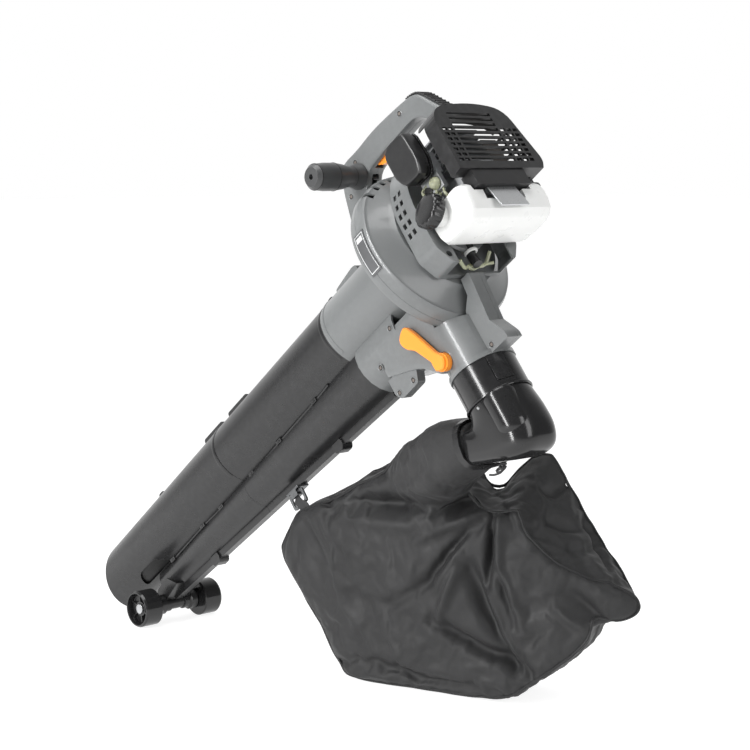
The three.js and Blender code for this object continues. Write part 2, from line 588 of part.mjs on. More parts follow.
function buildHandle() {
  const half = HANDLE_HALF;
  const skin = roundedPlate(HANDLE_POINTS, -half, half, 6, 3);
  const hollow = extrudeY(outline(inset(HANDLE_POINTS, 3)), -half + 3, half - 3, 3);
  const fanClear = join(
    latheA([[0, 46], [SOCKET.outer + GAP, 46], [SOCKET.outer + GAP, 240], [0, 240]], 30),
    latheA(
      [
        [0, -20], [FAN.rim + GAP, -20], [FAN.rim + GAP, FAN.front], [FAN.rim - 12, FAN.front + 4.5],
        [71, 35], [SOCKET.outer + GAP, 47], [0, 47],
      ],
      30,
    ),
  );
  const footOpening = box([62, 100], [-10, 10], [60, 100]);
  const triggerSlot = box([-27, 16], [-8, 8], [140, 175]);
  const switchSlot = box([30, 52], [-6, 6], [188, 210]);
  const lockSlot = box([26, 44], [-6, 6], [140, 176]);
  const gripSeat = at(latheY(rod(8, 8, 30), 20), GRIP.a, 0, GRIP.u);
  const whole = cut(skin, hollow, fanClear, footOpening, triggerSlot, switchSlot, lockSlot, gripSeat);
  add('handle_left', geometryOf(common(whole, leftSide())), 'gray');
  add('handle_right', geometryOf(common(whole, rightSide())), 'gray');

  // A soft pad wraps the back of the grip, just proud of it.
  const padSkin = extrudeY(outline(inset(HANDLE_POINTS, -1.6)), -12, 12, 3);
  const padCore = extrudeY(outline(inset(HANDLE_POINTS, -GAP)), -20, 20, 3);
  const padReach = extrudeY(
    outline([[-95, 230], [-95, 165], [-122, 150], [-136, 128], [-200, 128], [-200, 230]]), -20, 20,
  );
  add('handle_pad', geometryOf(common(cut(padSkin, padCore), padReach)), 'rubber');

  // Throttle trigger: hangs through the slot and swings up into the handle.
  const trigger = join(
    extrudeY(
      outline([
        [12, 172, 4], [13, 160, 5], [4, 152, 8], [-8, 148, 8], [-20, 147, 3], [-21, 152, 4], [-12, 162, 6],
        [-10, 172, 4],
      ]),
      -6.5, 6.5,
    ),
    at(latheY(rod(4, -7, 7), 16), 8, 0, 169),
  );
  add('throttle_trigger', geometryOf(trigger), 'orange');

  add('stop_switch', geometryOf(join(
    box([35, 47], [-5, 5], [188, 196]),
    extrudeY(outline([[37, 195], [45, 195], [44, 203, 2], [38, 203, 2]]), -4, 4),
  )), 'black');
  add('cruise_lever', geometryOf(join(
    extrudeY(outline([[29, 170, 3], [41, 170, 3], [38, 158], [33, 147, 2], [29, 148, 2]]), -5, 5),
  )), 'black');
}

function buildSideGrip() {
  const { a, u, r, root, end } = GRIP;
  const y0 = HANDLE_HALF + GAP;
  const profile = [
    [6.5, y0], [19, y0], [19, root + 2], [15.5, root + 12], [15, root + 20], [18, root + 33],
    [r, root + 48],
    [r, end - 22], [r - 1.5, end - 6], [r - 6, end], [4, end], [4, end - 10], [6.5, end - 10], [6.5, y0],
  ];
  add('side_grip', at(latheY(profile, 28), a, 0, u), 'dark');
  const bolt = [[0, 9], [6, 9], [6, end - 11], [0, end - 11]];
  add('side_grip_bolt', at(latheY(bolt, 16), a, 0, u), 'steel');
}

// ---------------------------------------------------------------- engine
function buildCrank() {
  const a = CRANK.cylinderA;
  const journal = latheA(rod(CRANK.r, IMPELLER.back - 2, a + 13), 20);
  const frontWeb = latheA(rod(24, a + 7, a + 13), 24);
  const pin = at(latheA(rod(5, a - 9, a + 9), 16), 0, 0, CRANK.throw);
  const rearWeb = latheA(rod(24, a - 13, a - 7), 24);
  const rearJournal = latheA(rod(CRANK.r, a - 30, a - 13), 20);
  const stud = latheA(rod(4, IMPELLER.back - 2, IMPELLER.front + 8), 16);
  add('crankshaft', geometryOf(join(journal, frontWeb, pin, rearWeb, rearJournal, stud)), 'steel');

  const { r, hubR, back, front, blades } = IMPELLER;
  let impeller = asSolid(latheA([
    [4 + GAP, back], [r, back], [r, back + 2.5], [hubR + 4, back + 3], [hubR - 4, front], [4 + GAP, front],
    [4 + GAP, back],
  ], 24));
  const blade = () => {
    const shape = outline([
      [back + 1, hubR - 3], [front - 1, hubR - 3], [front, 40, 8], [front - 4, r - 1], [back + 1, r - 1],
    ]);
    return extrudeY(shape, -1.3, 1.3);
  };
  for (let i = 0; i < blades; i += 1) {
    impeller = join(impeller, blade().rotateX((i * 2 * Math.PI) / blades));
  }
  add('impeller', geometryOf(impeller), 'black');
  const nut = new THREE.Shape();
  for (let i = 0; i < 6; i += 1) {
    const angle = (i * Math.PI) / 3;
    const method = i === 0 ? 'moveTo' : 'lineTo';
    nut[method](8 * Math.cos(angle), 8 * Math.sin(angle));
  }
  nut.closePath();
  const nutBody = cut(
    extrudeA(nut, front + GAP, front + 7), latheA(rod(4 + GAP, front - 5, front + 20), 16),
  );
  add('impeller_nut', geometryOf(nutBody), 'steel');

  let wheel = asSolid(latheA(ring(CRANK.r + GAP, 46, -60, -54), 32));
  for (let i = 0; i < 8; i += 1) {
    const fin = box([-55, -42], [-1.2, 1.2], [28, 44]);
    wheel = join(wheel, fin.rotateX((i * Math.PI) / 4));
  }
  add('flywheel', geometryOf(wheel), 'cast');
}

function buildEngine() {
  const a = CRANK.cylinderA;
  // Crankcase: a hollow box round the crank webs, open above for the cylinder.
  const caseOuter = extrudeA(
    outline([[-34, -6, 8], [-26, -28, 10], [26, -28, 10], [34, -6, 8], [34, 30], [-34, 30]]), -139, -74,
  );
  const caseInner = latheA(rod(26, a - 16, a + 16), 18);
  const throat = at(latheU(rod(19, 0, 60), 18), a, 0, 0);
  const shaftBore = latheA(rod(CRANK.r + 2 * GAP, -170, -60), 16);
  add('crankcase', geometryOf(cut(caseOuter, caseInner, throat, shaftBore)), 'cast');

  // Finned cylinder with a blind head.
  let barrel = asSolid(box([a - 22, a + 22], [-22, 22], [30 + GAP, 104]));
  for (let i = 0; i < 6; i += 1) {
    const u = 46 + i * 10;
    barrel = join(barrel, box([a - 32, a + 30], [-36, 36], [u, u + 2.5]));
  }
  const intakeStub = latheY(rod(11, 20, 42), 20).translate(a + 6, 0, 62);
  const exhaustStub = latheY(rod(11, -42, -20), 20).translate(a, 0, 62);
  const bore = at(latheU(rod(17, 20, 92), 24), a, 0, 0);
  const intakePort = latheY(rod(7, 10, 50), 16).translate(a + 6, 0, 62);
  const exhaustPort = latheY(rod(7, -50, -10), 16).translate(a, 0, 62);
  const plugHole = at(latheU(rod(5 + GAP, 80, 120), 16), a, 0, 0);
  add(
    'cylinder',
    geometryOf(cut(join(barrel, intakeStub, exhaustStub), bore, intakePort, exhaustPort, plugHole)),
    'cast',
  );

  const piston = cut(
    at(latheU(rod(17 - 2 * GAP, 53, 76), 24), a, 0, 0),
    at(latheU(rod(13, 50, 71), 16), a, 0, 0),
  );
  add('piston', geometryOf(piston), 'cast');

  add(
    'spark_plug',
    at(
      latheU(
        [[0, 84], [5, 84], [5, 104 + GAP], [8, 104 + GAP], [8, 109], [4, 109.5], [3, 114], [0, 114]], 16,
      ),
      a, 0, 0,
    ),
    'steel',
  );

  const muffler = cut(
    box([a - 24, a + 24], [-74, -42 - GAP], [40, 88]),
    box([a - 22, a + 22], [-72, -46], [42, 86]),
    latheY(rod(7, -60, -30), 16).translate(a, 0, 62),
    latheY(rod(4, -90, -60), 12).translate(a + 12, 0, 52),
  );
  add('muffler', geometryOf(muffler), 'iron');
}

function buildShroud() {
  const { rear, front, left, right, top, bottom } = SHROUD;
  const section = (o) => outline([
    [left - o, bottom + o], [left - 2 - o, 100, 16], [48, top - 2 - o, 24], [-20, top + 4 - o, 60],
    [right + 16, top - 6 - o, 24], [right + 4 + o, 70, 20], [right - 8 + o, 26, 10],
    [right + o, bottom + o],
  ]);
  let shroud = cut(
    extrudeA(section(0), rear, front, 1, 5), extrudeA(section(3), rear + 3, front + 1, 1, 5),
  );
  shroud = cut(
    shroud,
    box([-142, -60], [left - 12, left + 12], [-10, 101]), // open on the carburettor's side
    box([-128, front + 1], [-200, 200], [top - 26, top + 20]), // and in front, over the plug
    box([-145, front + 1], [right + 8, 100], [-10, 36]),
  );
  // The cooling grille: a field of long slots with columns of short ones beside it.
  const columns = [[-44, 40], [44, 52], [55, 63], [-58, -48], [-70, -61], [-82, -73]];
  for (let row = 0; row < 10; row += 1) {
    const u = 24 + row * 8.6;
    for (const [i, reach] of columns.entries()) {
      if (i === 0 || row < 7) shroud = cut(shroud, box([rear - 2, rear + 5], reach, [u, u + 5]));
    }
  }
  // Slots through the right wall, over the muffler.
  for (let i = 0; i < 5; i += 1) {
    shroud = cut(shroud, box([-153, -112], [right - 10, right + 22], [38 + i * 13, 47 + i * 13]));
  }
  // The starter rope comes out through a nub on the right.
  const nub = box([STARTER.a - 8, STARTER.a + 8], [right - 9, STARTER.wall], [bottom - 9, bottom + 9]);
  const ropeHole = latheY(rod(2.5, right - 20, right + 20), 12).translate(STARTER.a, 0, STARTER.u);
  shroud = cut(join(shroud, nub), ropeHole);
  add('engine_shroud', geometryOf(shroud), 'dark');

  const skirt = cut(
    box([-164, -142], [-52, 51], [-13, bottom - GAP]), box([-161, -139], [-49, 48], [-10, 20]),
  );
  add('starter_guard', geometryOf(skirt), 'dark');
  const shield = extrudeY(
    outline([[-142, -13.3], [-158, -13.3], [-165, -48], [-163, -49], [-156.5, -15.3], [-142, -15.3]]), -24,
    30,
  );
  add('heat_shield', shield, 'steel');
}

function buildCarburettor() {
  const a = CRANK.cylinderA + 6;
  const body = cut(
    join(
      box([a - 14, a + 14], [42 + GAP, 60], [46, 80]),
      box([-120, -84], [52, 60], [20, 47]),
      latheY(rod(11, 50, 64), 18).translate(a, 0, 62),
    ),
    latheY(rod(7, 30, 80), 16).translate(a, 0, 62),
    latheY(rod(9.8, 55, 61), 18).translate(-109, 0, 31),
  );
  add('carburettor', geometryOf(body), 'cast');

  const cover = [
    [-124, 108, 9], [-84, 109, 9], [-75, 98, 6], [-75, 62, 6], [-84, 43, 8], [-118, 40, 6], [-127, 60, 10],
  ];
  const base = cut(
    extrudeY(outline(cover), 64 + GAP, 68, 2), latheY(rod(8, 60, 70), 16).translate(a, 0, 62),
  );
  add('filter_base', geometryOf(base), 'black');
  const lid = cut(roundedPlate(cover, 68 + GAP, 92, 5, 2), extrudeY(outline(inset(cover, 3)), 60, 88.5, 2));
  const slots = [0, 1].map((i) => box([-124 + i * 17, -112 + i * 17], [72, 78], [30, 50]));
  add('air_filter_cover', geometryOf(cut(lid, ...slots)), 'dark');
  add('filter_element', extrudeY(outline(inset(cover, 5)), 68 + GAP, 84, 2), 'foam');

  const choke = extrudeY(
    outline([[-7, -5, 5], [7, -5, 5], [6, 5, 4], [3, 16, 2], [-3, 16, 2], [-6, 5, 4]]), 60 + GAP, 63,
  );
  add('choke_lever', at(choke.rotateY(Math.PI * 0.8), -93, 0, 30), 'black');
  const bulb = latheY([[0, 60 + GAP], [9, 60 + GAP], [9, 63], [7, 67], [3, 69.5], [0, 70]], 18);
  add('primer_bulb', at(bulb, -109, 0, 31), 'clear');
}

function buildTank() {
  const side = [
    [-76, -52, 12], [-73, -12, 10], [-100, 0, 14], [-140, 4, 10], [-156, -6, 10], [-154, -46, 14],
    [-130, -56, 10],
  ];
  const { a, y, u, turn } = CAP;
  const neck = at(latheY(rod(16, -26, 8), 22).rotateX(turn), a, y, u);
  // The crankcase sits in a saddle in the tank's top, and the starter guard in a step behind.
  const tank = cut(
    join(roundedPlate(side, -88, 72, 10, 2), neck),
    box([-170, -60], [-38, 38], [-30, 20]),
    box([-170, -140], [-56, 55], [-16, 20]),
    at(latheY(rod(13, -34, 9), 20).rotateX(turn), a, y, u),
  );
  add('fuel_tank', geometryOf(tank), 'white');

  let cap = asSolid(latheY(
    [
      [0, 6.5], [10.5, 6.5], [10.5, 0], [12.5, 0], [12.5, 8 + GAP], [23, 8 + GAP], [24, 10], [24, 24],
      [22, 27], [0, 27],
    ],
    20,
  ));
  for (let i = 0; i < 10; i += 1) {
    const rib = box([-2, 2], [10, 24], [22.5, 25.4]);
    cap = join(cap, rib.rotateY((i * 2 * Math.PI) / 10));
  }
  add('fuel_cap', at(geometryOf(cap).rotateX(turn), a, y, u), 'black');

  add(
    'fuel_line_feed',
    bar([[-114, 56, 3], [-115, 59, 9], [-113, 58, 15], [-113, 56, 17], [-113, 56, 19.6]], 2.2, 8), 'clear',
  );
  add(
    'fuel_line_return',
    bar([[-104, 55, 2.4], [-102, 60, 9], [-104, 59, 14], [-104, 56, 17], [-104, 56, 19.6]], 2.2, 8),
    'clear',
  );
}

function buildStarter() {
  // The pull handle of the starter rope, parked against its nub on the right.
  const y0 = SHROUD.right - 9 - GAP;
  const profile = [[0, y0 - 14], [5, y0 - 14], [7, y0 - 11], [7, y0 - 3], [5, y0], [0, y0]];
  add('starter_handle', at(latheY(profile, 16), STARTER.a, 0, STARTER.u), 'black');
}

// ---------------------------------------------------------------- bag and its fittings
// Turn a point given level with the floor (forward, left, up from the crank axis) into machine axes.
function fromLevel([x, y, z]) {
  const p = new THREE.Vector3(x, y, z).applyAxisAngle(new THREE.Vector3(0, 1, 0), -PITCH);
  return [p.x, p.y, p.z];
}

// The height of the floor that the wheels stand on, measured from the crank axis.
const FLOOR = WHEEL.u * Math.cos(PITCH) - WHEEL.a * Math.sin(PITCH) - WHEEL.r;
const RING = { a: 462, y: 10, u: -121 };

const BAG = {
  turn: THREE.MathUtils.degToRad(19), // how far the bag's length turns away from straight ahead
  centre: [42, -70], // where its middle stands, ahead of and to the left of the crank axis
  foot: 50, // the place along the bag that its layers shrink towards
};

// The bag's side outline: distance along it, and height above the floor.
const BAG_OUTLINE = [
  [174, 0], [228, 70], [266, 150], [284, 178], [262, 212], [242, 240], [212, 262], [172, 288], [131, 318],
  [84, 342], [30, 362], [-14, 374], [-66, 362], [-92, 330], [-108, 312], [-130, 340], [-156, 361],
  [-174, 362],
  [-200, 328], [-228, 284], [-256, 238], [-272, 196], [-297, 154], [-288, 139], [-254, 126], [-214, 92],
  [-166, 44], [-118, 14], [-84, 0], [46, 0],
];

// From a place along the bag, across it and above the floor to machine axes.
function bagPoint(along, across, height) {
  const [x, y] = BAG.centre;
  return fromLevel([
    x + along * Math.cos(BAG.turn) - across * Math.sin(BAG.turn),
    y + along * Math.sin(BAG.turn) + across * Math.cos(BAG.turn),
    FLOOR + height,
  ]);
}

function buildBag() {
  // Layers across the bag, from its right side to its left, each shrunk towards the foot.
  const layers = [
    [-80, 0.64], [-68, 0.8], [-42, 0.94], [-12, 1], [12, 0.98], [38, 0.9], [58, 0.79], [70, 0.64],
  ];
  const pillow = loft(layers.map(([across, k]) => (
    BAG_OUTLINE.map(([s, h]) => bagPoint(BAG.foot + (s - BAG.foot) * k, across, h * k))
  )));

  const collar = at(latheU(rod(NECK.r + 1.5 + GAP, ELBOW.collarEnd - GAP, NECK.end), 24), NECK.a, 0, 0);
  add('bag', geometryOf(cut(join(pillow, bagNeck(0, 1, 6)), elbowBody(GAP, 0), collar)), 'fabric');

  // An elastic band holds the bag's neck on the elbow's mouth.
  const band = cut(bagNeck(3, 1, 3), bagNeck(GAP, 0, 4), elbowBody(GAP, 0), collar);
  add('bag_band', geometryOf(band), 'black');
}

// Rings of the bag's neck: centre (forward, left, up), half height, half width, tilt in degrees.
// The first one only carries the shape a little further back.
const BAG_NECK = [
  [[-114, 0, -254.2], 30, 49.5, 21], [[-104, 0, -259], 32.5, 50, 21], [[-95, 0, -262.5], 33.8, 51, 21],
  [[-40, -12, -290], 50, 56, 20],
  [[20, -35, -330], 66, 56, 22], [[80, -55, -370], 60, 40, 25],
];

// The neck runs from the elbow's mouth down into the top of the bag.
function bagNeck(grow, first, last) {
  return loft(BAG_NECK.slice(first, last).map(([[x, y, z], high, wide, degrees]) => {
    const tilt = THREE.MathUtils.degToRad(degrees);
    const points = [];
    for (let i = 0; i < 16; i += 1) {
      const angle = (i * Math.PI) / 8;
      const squarer = (v) => Math.sign(v) * Math.abs(v) ** 0.7;
      const up = (high + grow) * squarer(Math.cos(angle));
      const side = (wide + grow) * squarer(Math.sin(angle));
      points.push(fromLevel([x + up * Math.sin(tilt), y + side, z + up * Math.cos(tilt)]));
    }
    return points;
  }));
}

// A ring on the bag's front corner hangs in an eye under the duct.
function buildBagHook() {
  const { a, y, u } = RING;
  const top = keelBottom(a) - 4 * GAP;
  const eye = cut(
    box([a - 8, a + 8], [y - 6, y + 6], [u - 6, top]),
    box([a - 20, a + 20], [y - 3.6, y + 3.6], [u - 3.2, u + 4.2]),
  );
  const foot = box([a - 16, a + 16], [-7, y + 6], [top - 3.5, top]);
  add('bag_hook', geometryOf(join(eye, foot)), 'black');
  const frame = (grow) => extrudeY(outline([
    [-18 + grow, -22 + grow, 4], [18 - grow, -22 + grow, 4], [18 - grow, 2 - grow, 4],
    [-18 + grow, 2 - grow, 4],
  ]), -2 - grow, 2 + grow, 2);
  add('bag_ring', at(geometryOf(cut(frame(0), frame(4))), a, y, u), 'steel');
}

const BUILD_ORDER = [
  buildVacTube, buildBlowTube, buildWheels, buildFanHousing, buildJunction, buildModeLever, buildElbow,
  buildEngineMount, buildHandle, buildSideGrip, buildCrank, buildEngine, buildShroud, buildCarburettor,
  buildTank, buildStarter, buildBag, buildBagHook,
];
for (const build of BUILD_ORDER) build();

// ---------------------------------------------------------------- parked attitude
machine.rotation.y = PITCH;
const part = new THREE.Group();
part.add(machine);
const bounds = new THREE.Box3().setFromObject(part, true);
machine.position.set(-(bounds.min.x + bounds.max.x) / 2, -(bounds.min.y + bounds.max.y) / 2, -bounds.min.z);
part.updateMatrixWorld(true);
export default part;
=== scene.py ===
"""A petrol leaf blower and vacuum, parked on its wheels and on its collection bag.

Lengths inside the machine are in millimetres in its own frame: a along the crankshaft towards the
tube's mouth, y to the operator's left, u from the bag elbow up to the handle. place() and MACHINE turn
them into the row frame, in metres. The bag has its own frame: s along it, c across it, h above the floor.
"""

import json
import math

import bmesh
import bpy
from mathutils import Matrix, Quaternion, Vector, noise
from mathutils.bvhtree import BVHTree

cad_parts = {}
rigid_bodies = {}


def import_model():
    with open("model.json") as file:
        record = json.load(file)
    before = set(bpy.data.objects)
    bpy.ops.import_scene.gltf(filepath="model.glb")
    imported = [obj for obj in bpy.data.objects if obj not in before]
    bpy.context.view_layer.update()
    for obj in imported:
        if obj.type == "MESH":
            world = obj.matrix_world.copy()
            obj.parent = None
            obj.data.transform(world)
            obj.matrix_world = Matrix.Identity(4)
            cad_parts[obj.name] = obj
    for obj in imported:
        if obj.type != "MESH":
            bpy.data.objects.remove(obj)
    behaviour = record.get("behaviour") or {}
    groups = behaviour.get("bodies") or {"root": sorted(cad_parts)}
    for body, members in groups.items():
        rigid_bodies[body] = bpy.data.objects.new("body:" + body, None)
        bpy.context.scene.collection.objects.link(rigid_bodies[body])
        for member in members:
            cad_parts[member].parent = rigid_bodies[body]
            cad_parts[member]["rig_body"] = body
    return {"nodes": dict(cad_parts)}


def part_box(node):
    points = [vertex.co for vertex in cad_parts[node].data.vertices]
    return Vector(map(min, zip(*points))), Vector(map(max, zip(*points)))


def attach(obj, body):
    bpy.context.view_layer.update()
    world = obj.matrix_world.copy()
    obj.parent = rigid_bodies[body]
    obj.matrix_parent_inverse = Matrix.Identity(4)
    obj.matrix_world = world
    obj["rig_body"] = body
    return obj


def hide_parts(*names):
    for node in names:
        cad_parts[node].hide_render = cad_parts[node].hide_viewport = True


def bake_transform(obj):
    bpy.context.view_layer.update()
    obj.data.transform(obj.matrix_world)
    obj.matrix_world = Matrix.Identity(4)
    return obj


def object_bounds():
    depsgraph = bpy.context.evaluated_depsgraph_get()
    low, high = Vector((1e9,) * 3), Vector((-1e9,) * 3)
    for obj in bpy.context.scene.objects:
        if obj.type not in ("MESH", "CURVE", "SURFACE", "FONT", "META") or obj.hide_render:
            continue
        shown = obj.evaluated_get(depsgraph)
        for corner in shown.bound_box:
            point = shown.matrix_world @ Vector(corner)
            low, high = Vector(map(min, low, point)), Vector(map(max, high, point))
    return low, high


for starter in list(bpy.data.objects):
    bpy.data.objects.remove(starter)
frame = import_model()
cad_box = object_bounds()

# ---------------------------------------------------------------- frames and driving sizes
MM = 0.001
PITCH = math.radians(38.64)  # how far the tube points below the horizontal
TURN = Matrix.Rotation(PITCH, 3, "Y")
WHEEL = Vector((863, 0, -96))
NECK = Vector((23.5, 0, 0))
GRIP = Vector((43, 0, 162))
CAP = Vector((-98, 70, -14))
CAP_TURN = math.radians(23)
RIM = 123.0  # radius of the fan housing
UP = Vector((0, 0, 1))
AS_IT_IS = Matrix.Identity(4)  # for shapes that are already in the row frame, in metres


def centre_of(node):
    low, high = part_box(node)
    return (low + high) / 2


ORIGIN = (centre_of("wheel_left") + centre_of("wheel_right")) / 2 - TURN @ WHEEL * MM
MACHINE = Matrix.Translation(ORIGIN) @ TURN.to_4x4() @ Matrix.Scale(MM, 4)

BAG_TURN = math.radians(19)
BAG_MIDDLE = Vector((42, -70, 0)) * MM + Vector((ORIGIN.x, ORIGIN.y, 0))
BAG = Matrix.Translation(BAG_MIDDLE) @ Matrix.Rotation(BAG_TURN, 4, "Z") @ Matrix.Scale(MM, 4)


def place(a, y, u):
    """A machine point in the row frame."""
    return MACHINE @ Vector((a, y, u))


# ---------------------------------------------------------------- materials
class Finish:
    """A procedural material on one Principled shader, with its coordinates in the row frame."""

    def __init__(self, name, colour, rough, metal=0.0, **sockets):
        self.material = bpy.data.materials.new(name)
        self.material.use_nodes = True
        self.tree = self.material.node_tree
        self.shader = self.tree.nodes["Principled BSDF"]
        self.colour, self.rough = colour, rough
        self.shader.inputs["Base Color"].default_value = (*colour, 1)
        self.shader.inputs["Roughness"].default_value = rough
        self.shader.inputs["Metallic"].default_value = metal
        for socket, value in sockets.items():
            label = socket.replace("_", " ").title().replace("Ior", "IOR")
            self.shader.inputs[label].default_value = value
        self.where = self.node("ShaderNodeTexCoord").outputs["Object"]
        self.normal = None

    def node(self, kind, **values):
        made = self.tree.nodes.new(kind)
        for key, value in values.items():
            if hasattr(made, key):
                setattr(made, key, value)
            else:
                made.inputs[key].default_value = value
        return made

    def link(self, output, target):
        self.tree.links.new(output, target)

    def noise(self, size_mm, detail=2.0, stretch=None, roughness=0.55):
        """Cloudy noise whose lumps are about size_mm across."""
        made = self.node("ShaderNodeTexNoise", Scale=1000.0 / size_mm, Detail=detail, Roughness=roughness)
        where = self.where
        if stretch:
            mapping = self.node("ShaderNodeMapping", Scale=stretch)
            mapping.inputs["Rotation"].default_value = (0, PITCH, 0)
            self.link(where, mapping.inputs["Vector"])
            where = mapping.outputs["Vector"]
        self.link(where, made.inputs["Vector"])
        return made.outputs["Fac"]

    def ranged(self, fac, low, high, start=0.3, stop=0.7):
        made = self.node("ShaderNodeMapRange", clamp=True)
        for key, value in (("From Min", start), ("From Max", stop), ("To Min", low), ("To Max", high)):
            made.inputs[key].default_value = value
        self.link(fac, made.inputs["Value"])
        return made.outputs["Result"]

    def tint(self, fac, colour):
        """Mixes another colour in over what the surface has so far."""
        mix = self.node("ShaderNodeMix", data_type="RGBA")
        base = self.shader.inputs["Base Color"]
        if base.is_linked:
            self.link(base.links[0].from_socket, mix.inputs[6])
        else:
            mix.inputs[6].default_value = base.default_value
        mix.inputs[7].default_value = (*colour, 1)
        self.link(fac, mix.inputs[0])
        self.link(mix.outputs[2], base)

    def polish(self, fac, low, high):
        self.link(self.ranged(fac, low, high), self.shader.inputs["Roughness"])

    def bump(self, fac, depth_mm, strength=1.0):
        made = self.node("ShaderNodeBump", Strength=strength, Distance=depth_mm * MM)
        self.link(fac, made.inputs["Height"])
        if self.normal:
            self.link(self.normal, made.inputs["Normal"])
        self.normal = made.outputs["Normal"]
        self.link(self.normal, self.shader.inputs["Normal"])

    def wear(self, colour, amount):
        """Rubbed edges: the mesh says where they are, and noise breaks them up."""
        edge = self.node("ShaderNodeAttribute", attribute_name="wear").outputs["Fac"]
        product = self.node("ShaderNodeMath", operation="MULTIPLY")
        self.link(edge, product.inputs[0])
        self.link(self.ranged(self.noise(9, 4), 0, amount, 0.42, 0.68), product.inputs[1])
        self.tint(product.outputs[0], colour)


def scaled(colour, k):
    return tuple(min(1.0, c * k) for c in colour)


def moulded(name, colour, rough, grain_mm=0.9, grain_depth=0.05, edge=1.6, **sockets):
    """Injection-moulded plastic: fine spark grain, cloudy tone, slightly rubbed edges."""
    f = Finish(name, colour, rough, **sockets)
    f.tint(f.ranged(f.noise(150, 3), 0, 0.3), scaled(colour, 0.86))
    f.tint(f.ranged(f.noise(5, 4), 0, 0.1), scaled(colour, 1.2))
    f.wear(scaled(colour, edge), 0.6)
    f.polish(f.noise(60, 4), rough - 0.03, rough + 0.05)
    f.bump(f.noise(grain_mm, 2), grain_depth, 0.5)
    return f.material


def rubber_finish():
    f = Finish("soft_rubber", (0.022, 0.022, 0.023), 0.72)
    f.tint(f.ranged(f.noise(12, 4), 0, 0.5), (0.045, 0.044, 0.043))
    f.bump(f.noise(0.7, 2), 0.08, 0.7)
    f.polish(f.noise(18, 3), 0.62, 0.82)
    return f.material


def metal_finish(name, colour, rough, brushed=False, cast=False):
    f = Finish(name, colour, rough, 0.95)
    grain = f.noise(1.2, 3, stretch=(0.05, 1, 1)) if brushed else f.noise(1.6 if cast else 6, 4)
    f.tint(f.ranged(grain, 0, 0.5), scaled(colour, 0.72))
    f.tint(f.ranged(f.noise(30, 4), 0, 0.4), scaled(colour, 0.8))
    f.polish(grain, rough - 0.05, rough + 0.12)
    f.bump(grain, 0.12 if cast else 0.02, 0.5)
    return f.material


def tank_finish():
    """Milky blow-moulded tank with a soft, slightly wavy skin."""
    f = Finish("milky_tank", (0.82, 0.825, 0.815), 0.3, coat_weight=0.1)
    f.tint(f.ranged(f.noise(60, 3), 0, 0.35), (0.72, 0.73, 0.71))
    f.polish(f.noise(20, 3), 0.25, 0.38)
    f.bump(f.noise(24, 2), 0.12, 0.2)
    return f.material


def clear_finish():
    f = Finish("clear_hose", (0.72, 0.74, 0.55), 0.15, transmission_weight=0.55, ior=1.42)
    f.tint(f.ranged(f.noise(10, 3), 0, 0.4), (0.5, 0.52, 0.32))
    f.polish(f.noise(8, 2), 0.1, 0.25)
    f.bump(f.noise(3, 2), 0.05, 0.3)
    return f.material


def foam_finish():
    f = Finish("filter_foam", (0.03, 0.031, 0.03), 0.95)
    cells = f.node("ShaderNodeTexVoronoi", Scale=600)
    f.link(f.where, cells.inputs["Vector"])
    f.tint(cells.outputs["Distance"], (0.06, 0.06, 0.055))
    f.bump(cells.outputs["Distance"], 0.6, 0.9)
    return f.material


def woven(name, colour, thread_mm, sheen=0.25, crumple=0.5):
    """Coated plain-weave cloth: crossed threads, crumples and a dull sheen."""
    f = Finish(name, colour, 0.62, sheen_weight=sheen, sheen_roughness=0.4)
    f.tint(f.ranged(f.noise(120, 4), 0, 0.35), scaled(colour, 0.75))
    f.tint(f.ranged(f.noise(9, 5), 0, 0.2), scaled(colour, 1.35))
    wave_scale = math.pi / 10 / (thread_mm * MM)
    threads = []
    for direction in ("X", "Z"):
        wave = f.node("ShaderNodeTexWave", Scale=wave_scale, Distortion=0.4, bands_direction=direction)
        f.link(f.where, wave.inputs["Vector"])
        threads.append(wave.outputs["Fac"])
    weave = f.node("ShaderNodeMath", operation="MULTIPLY")
    f.link(threads[0], weave.inputs[0])
    f.link(threads[1], weave.inputs[1])
    f.bump(weave.outputs[0], 0.12, 0.6)
    f.bump(f.noise(11, 5, roughness=0.6), 1.1, crumple)
    f.polish(f.noise(50, 4), 0.5, 0.72)
    return f.material


def plate_finish():
    """Printed foil with no lettering: plain dark field, faint mottling."""
    f = Finish("blank_plate", (0.09, 0.092, 0.095), 0.34, 0.2)
    f.tint(f.ranged(f.noise(18, 3), 0, 0.4), (0.14, 0.14, 0.145))
    f.polish(f.noise(12, 3), 0.28, 0.42)
    f.bump(f.noise(4, 2), 0.02, 0.3)
    return f.material


GRAY, CHARCOAL, ORANGE = (0.14, 0.146, 0.147), (0.014, 0.014, 0.0145), (0.95, 0.3, 0.03)
FINISHES = {
    "gray_plastic": moulded("moulded_gray", GRAY, 0.38, edge=1.25, coat_weight=0.35, coat_roughness=0.12),
    "black_plastic": moulded("moulded_black", CHARCOAL, 0.27, grain_depth=0.02, edge=2.2),
    "dark_plastic": moulded("moulded_dark", (0.016, 0.016, 0.0165), 0.3, edge=2.0),
    "rubber": rubber_finish(),
    "orange_plastic": moulded("moulded_orange", ORANGE, 0.36, edge=1.1),
    "white_tank": tank_finish(),
    "clear_plastic": clear_finish(),
    "steel": metal_finish("bright_steel", (0.62, 0.63, 0.64), 0.3, brushed=True),
    "cast_aluminium": metal_finish("cast_alloy", (0.5, 0.51, 0.52), 0.46, cast=True),
    "exhaust_steel": metal_finish("heated_steel", (0.24, 0.21, 0.19), 0.5, brushed=True),
    "foam": foam_finish(),
    "fabric": woven("bag_cloth", (0.0125, 0.0125, 0.013), 1.1, sheen=0.06),
    "plate": plate_finish(),
}
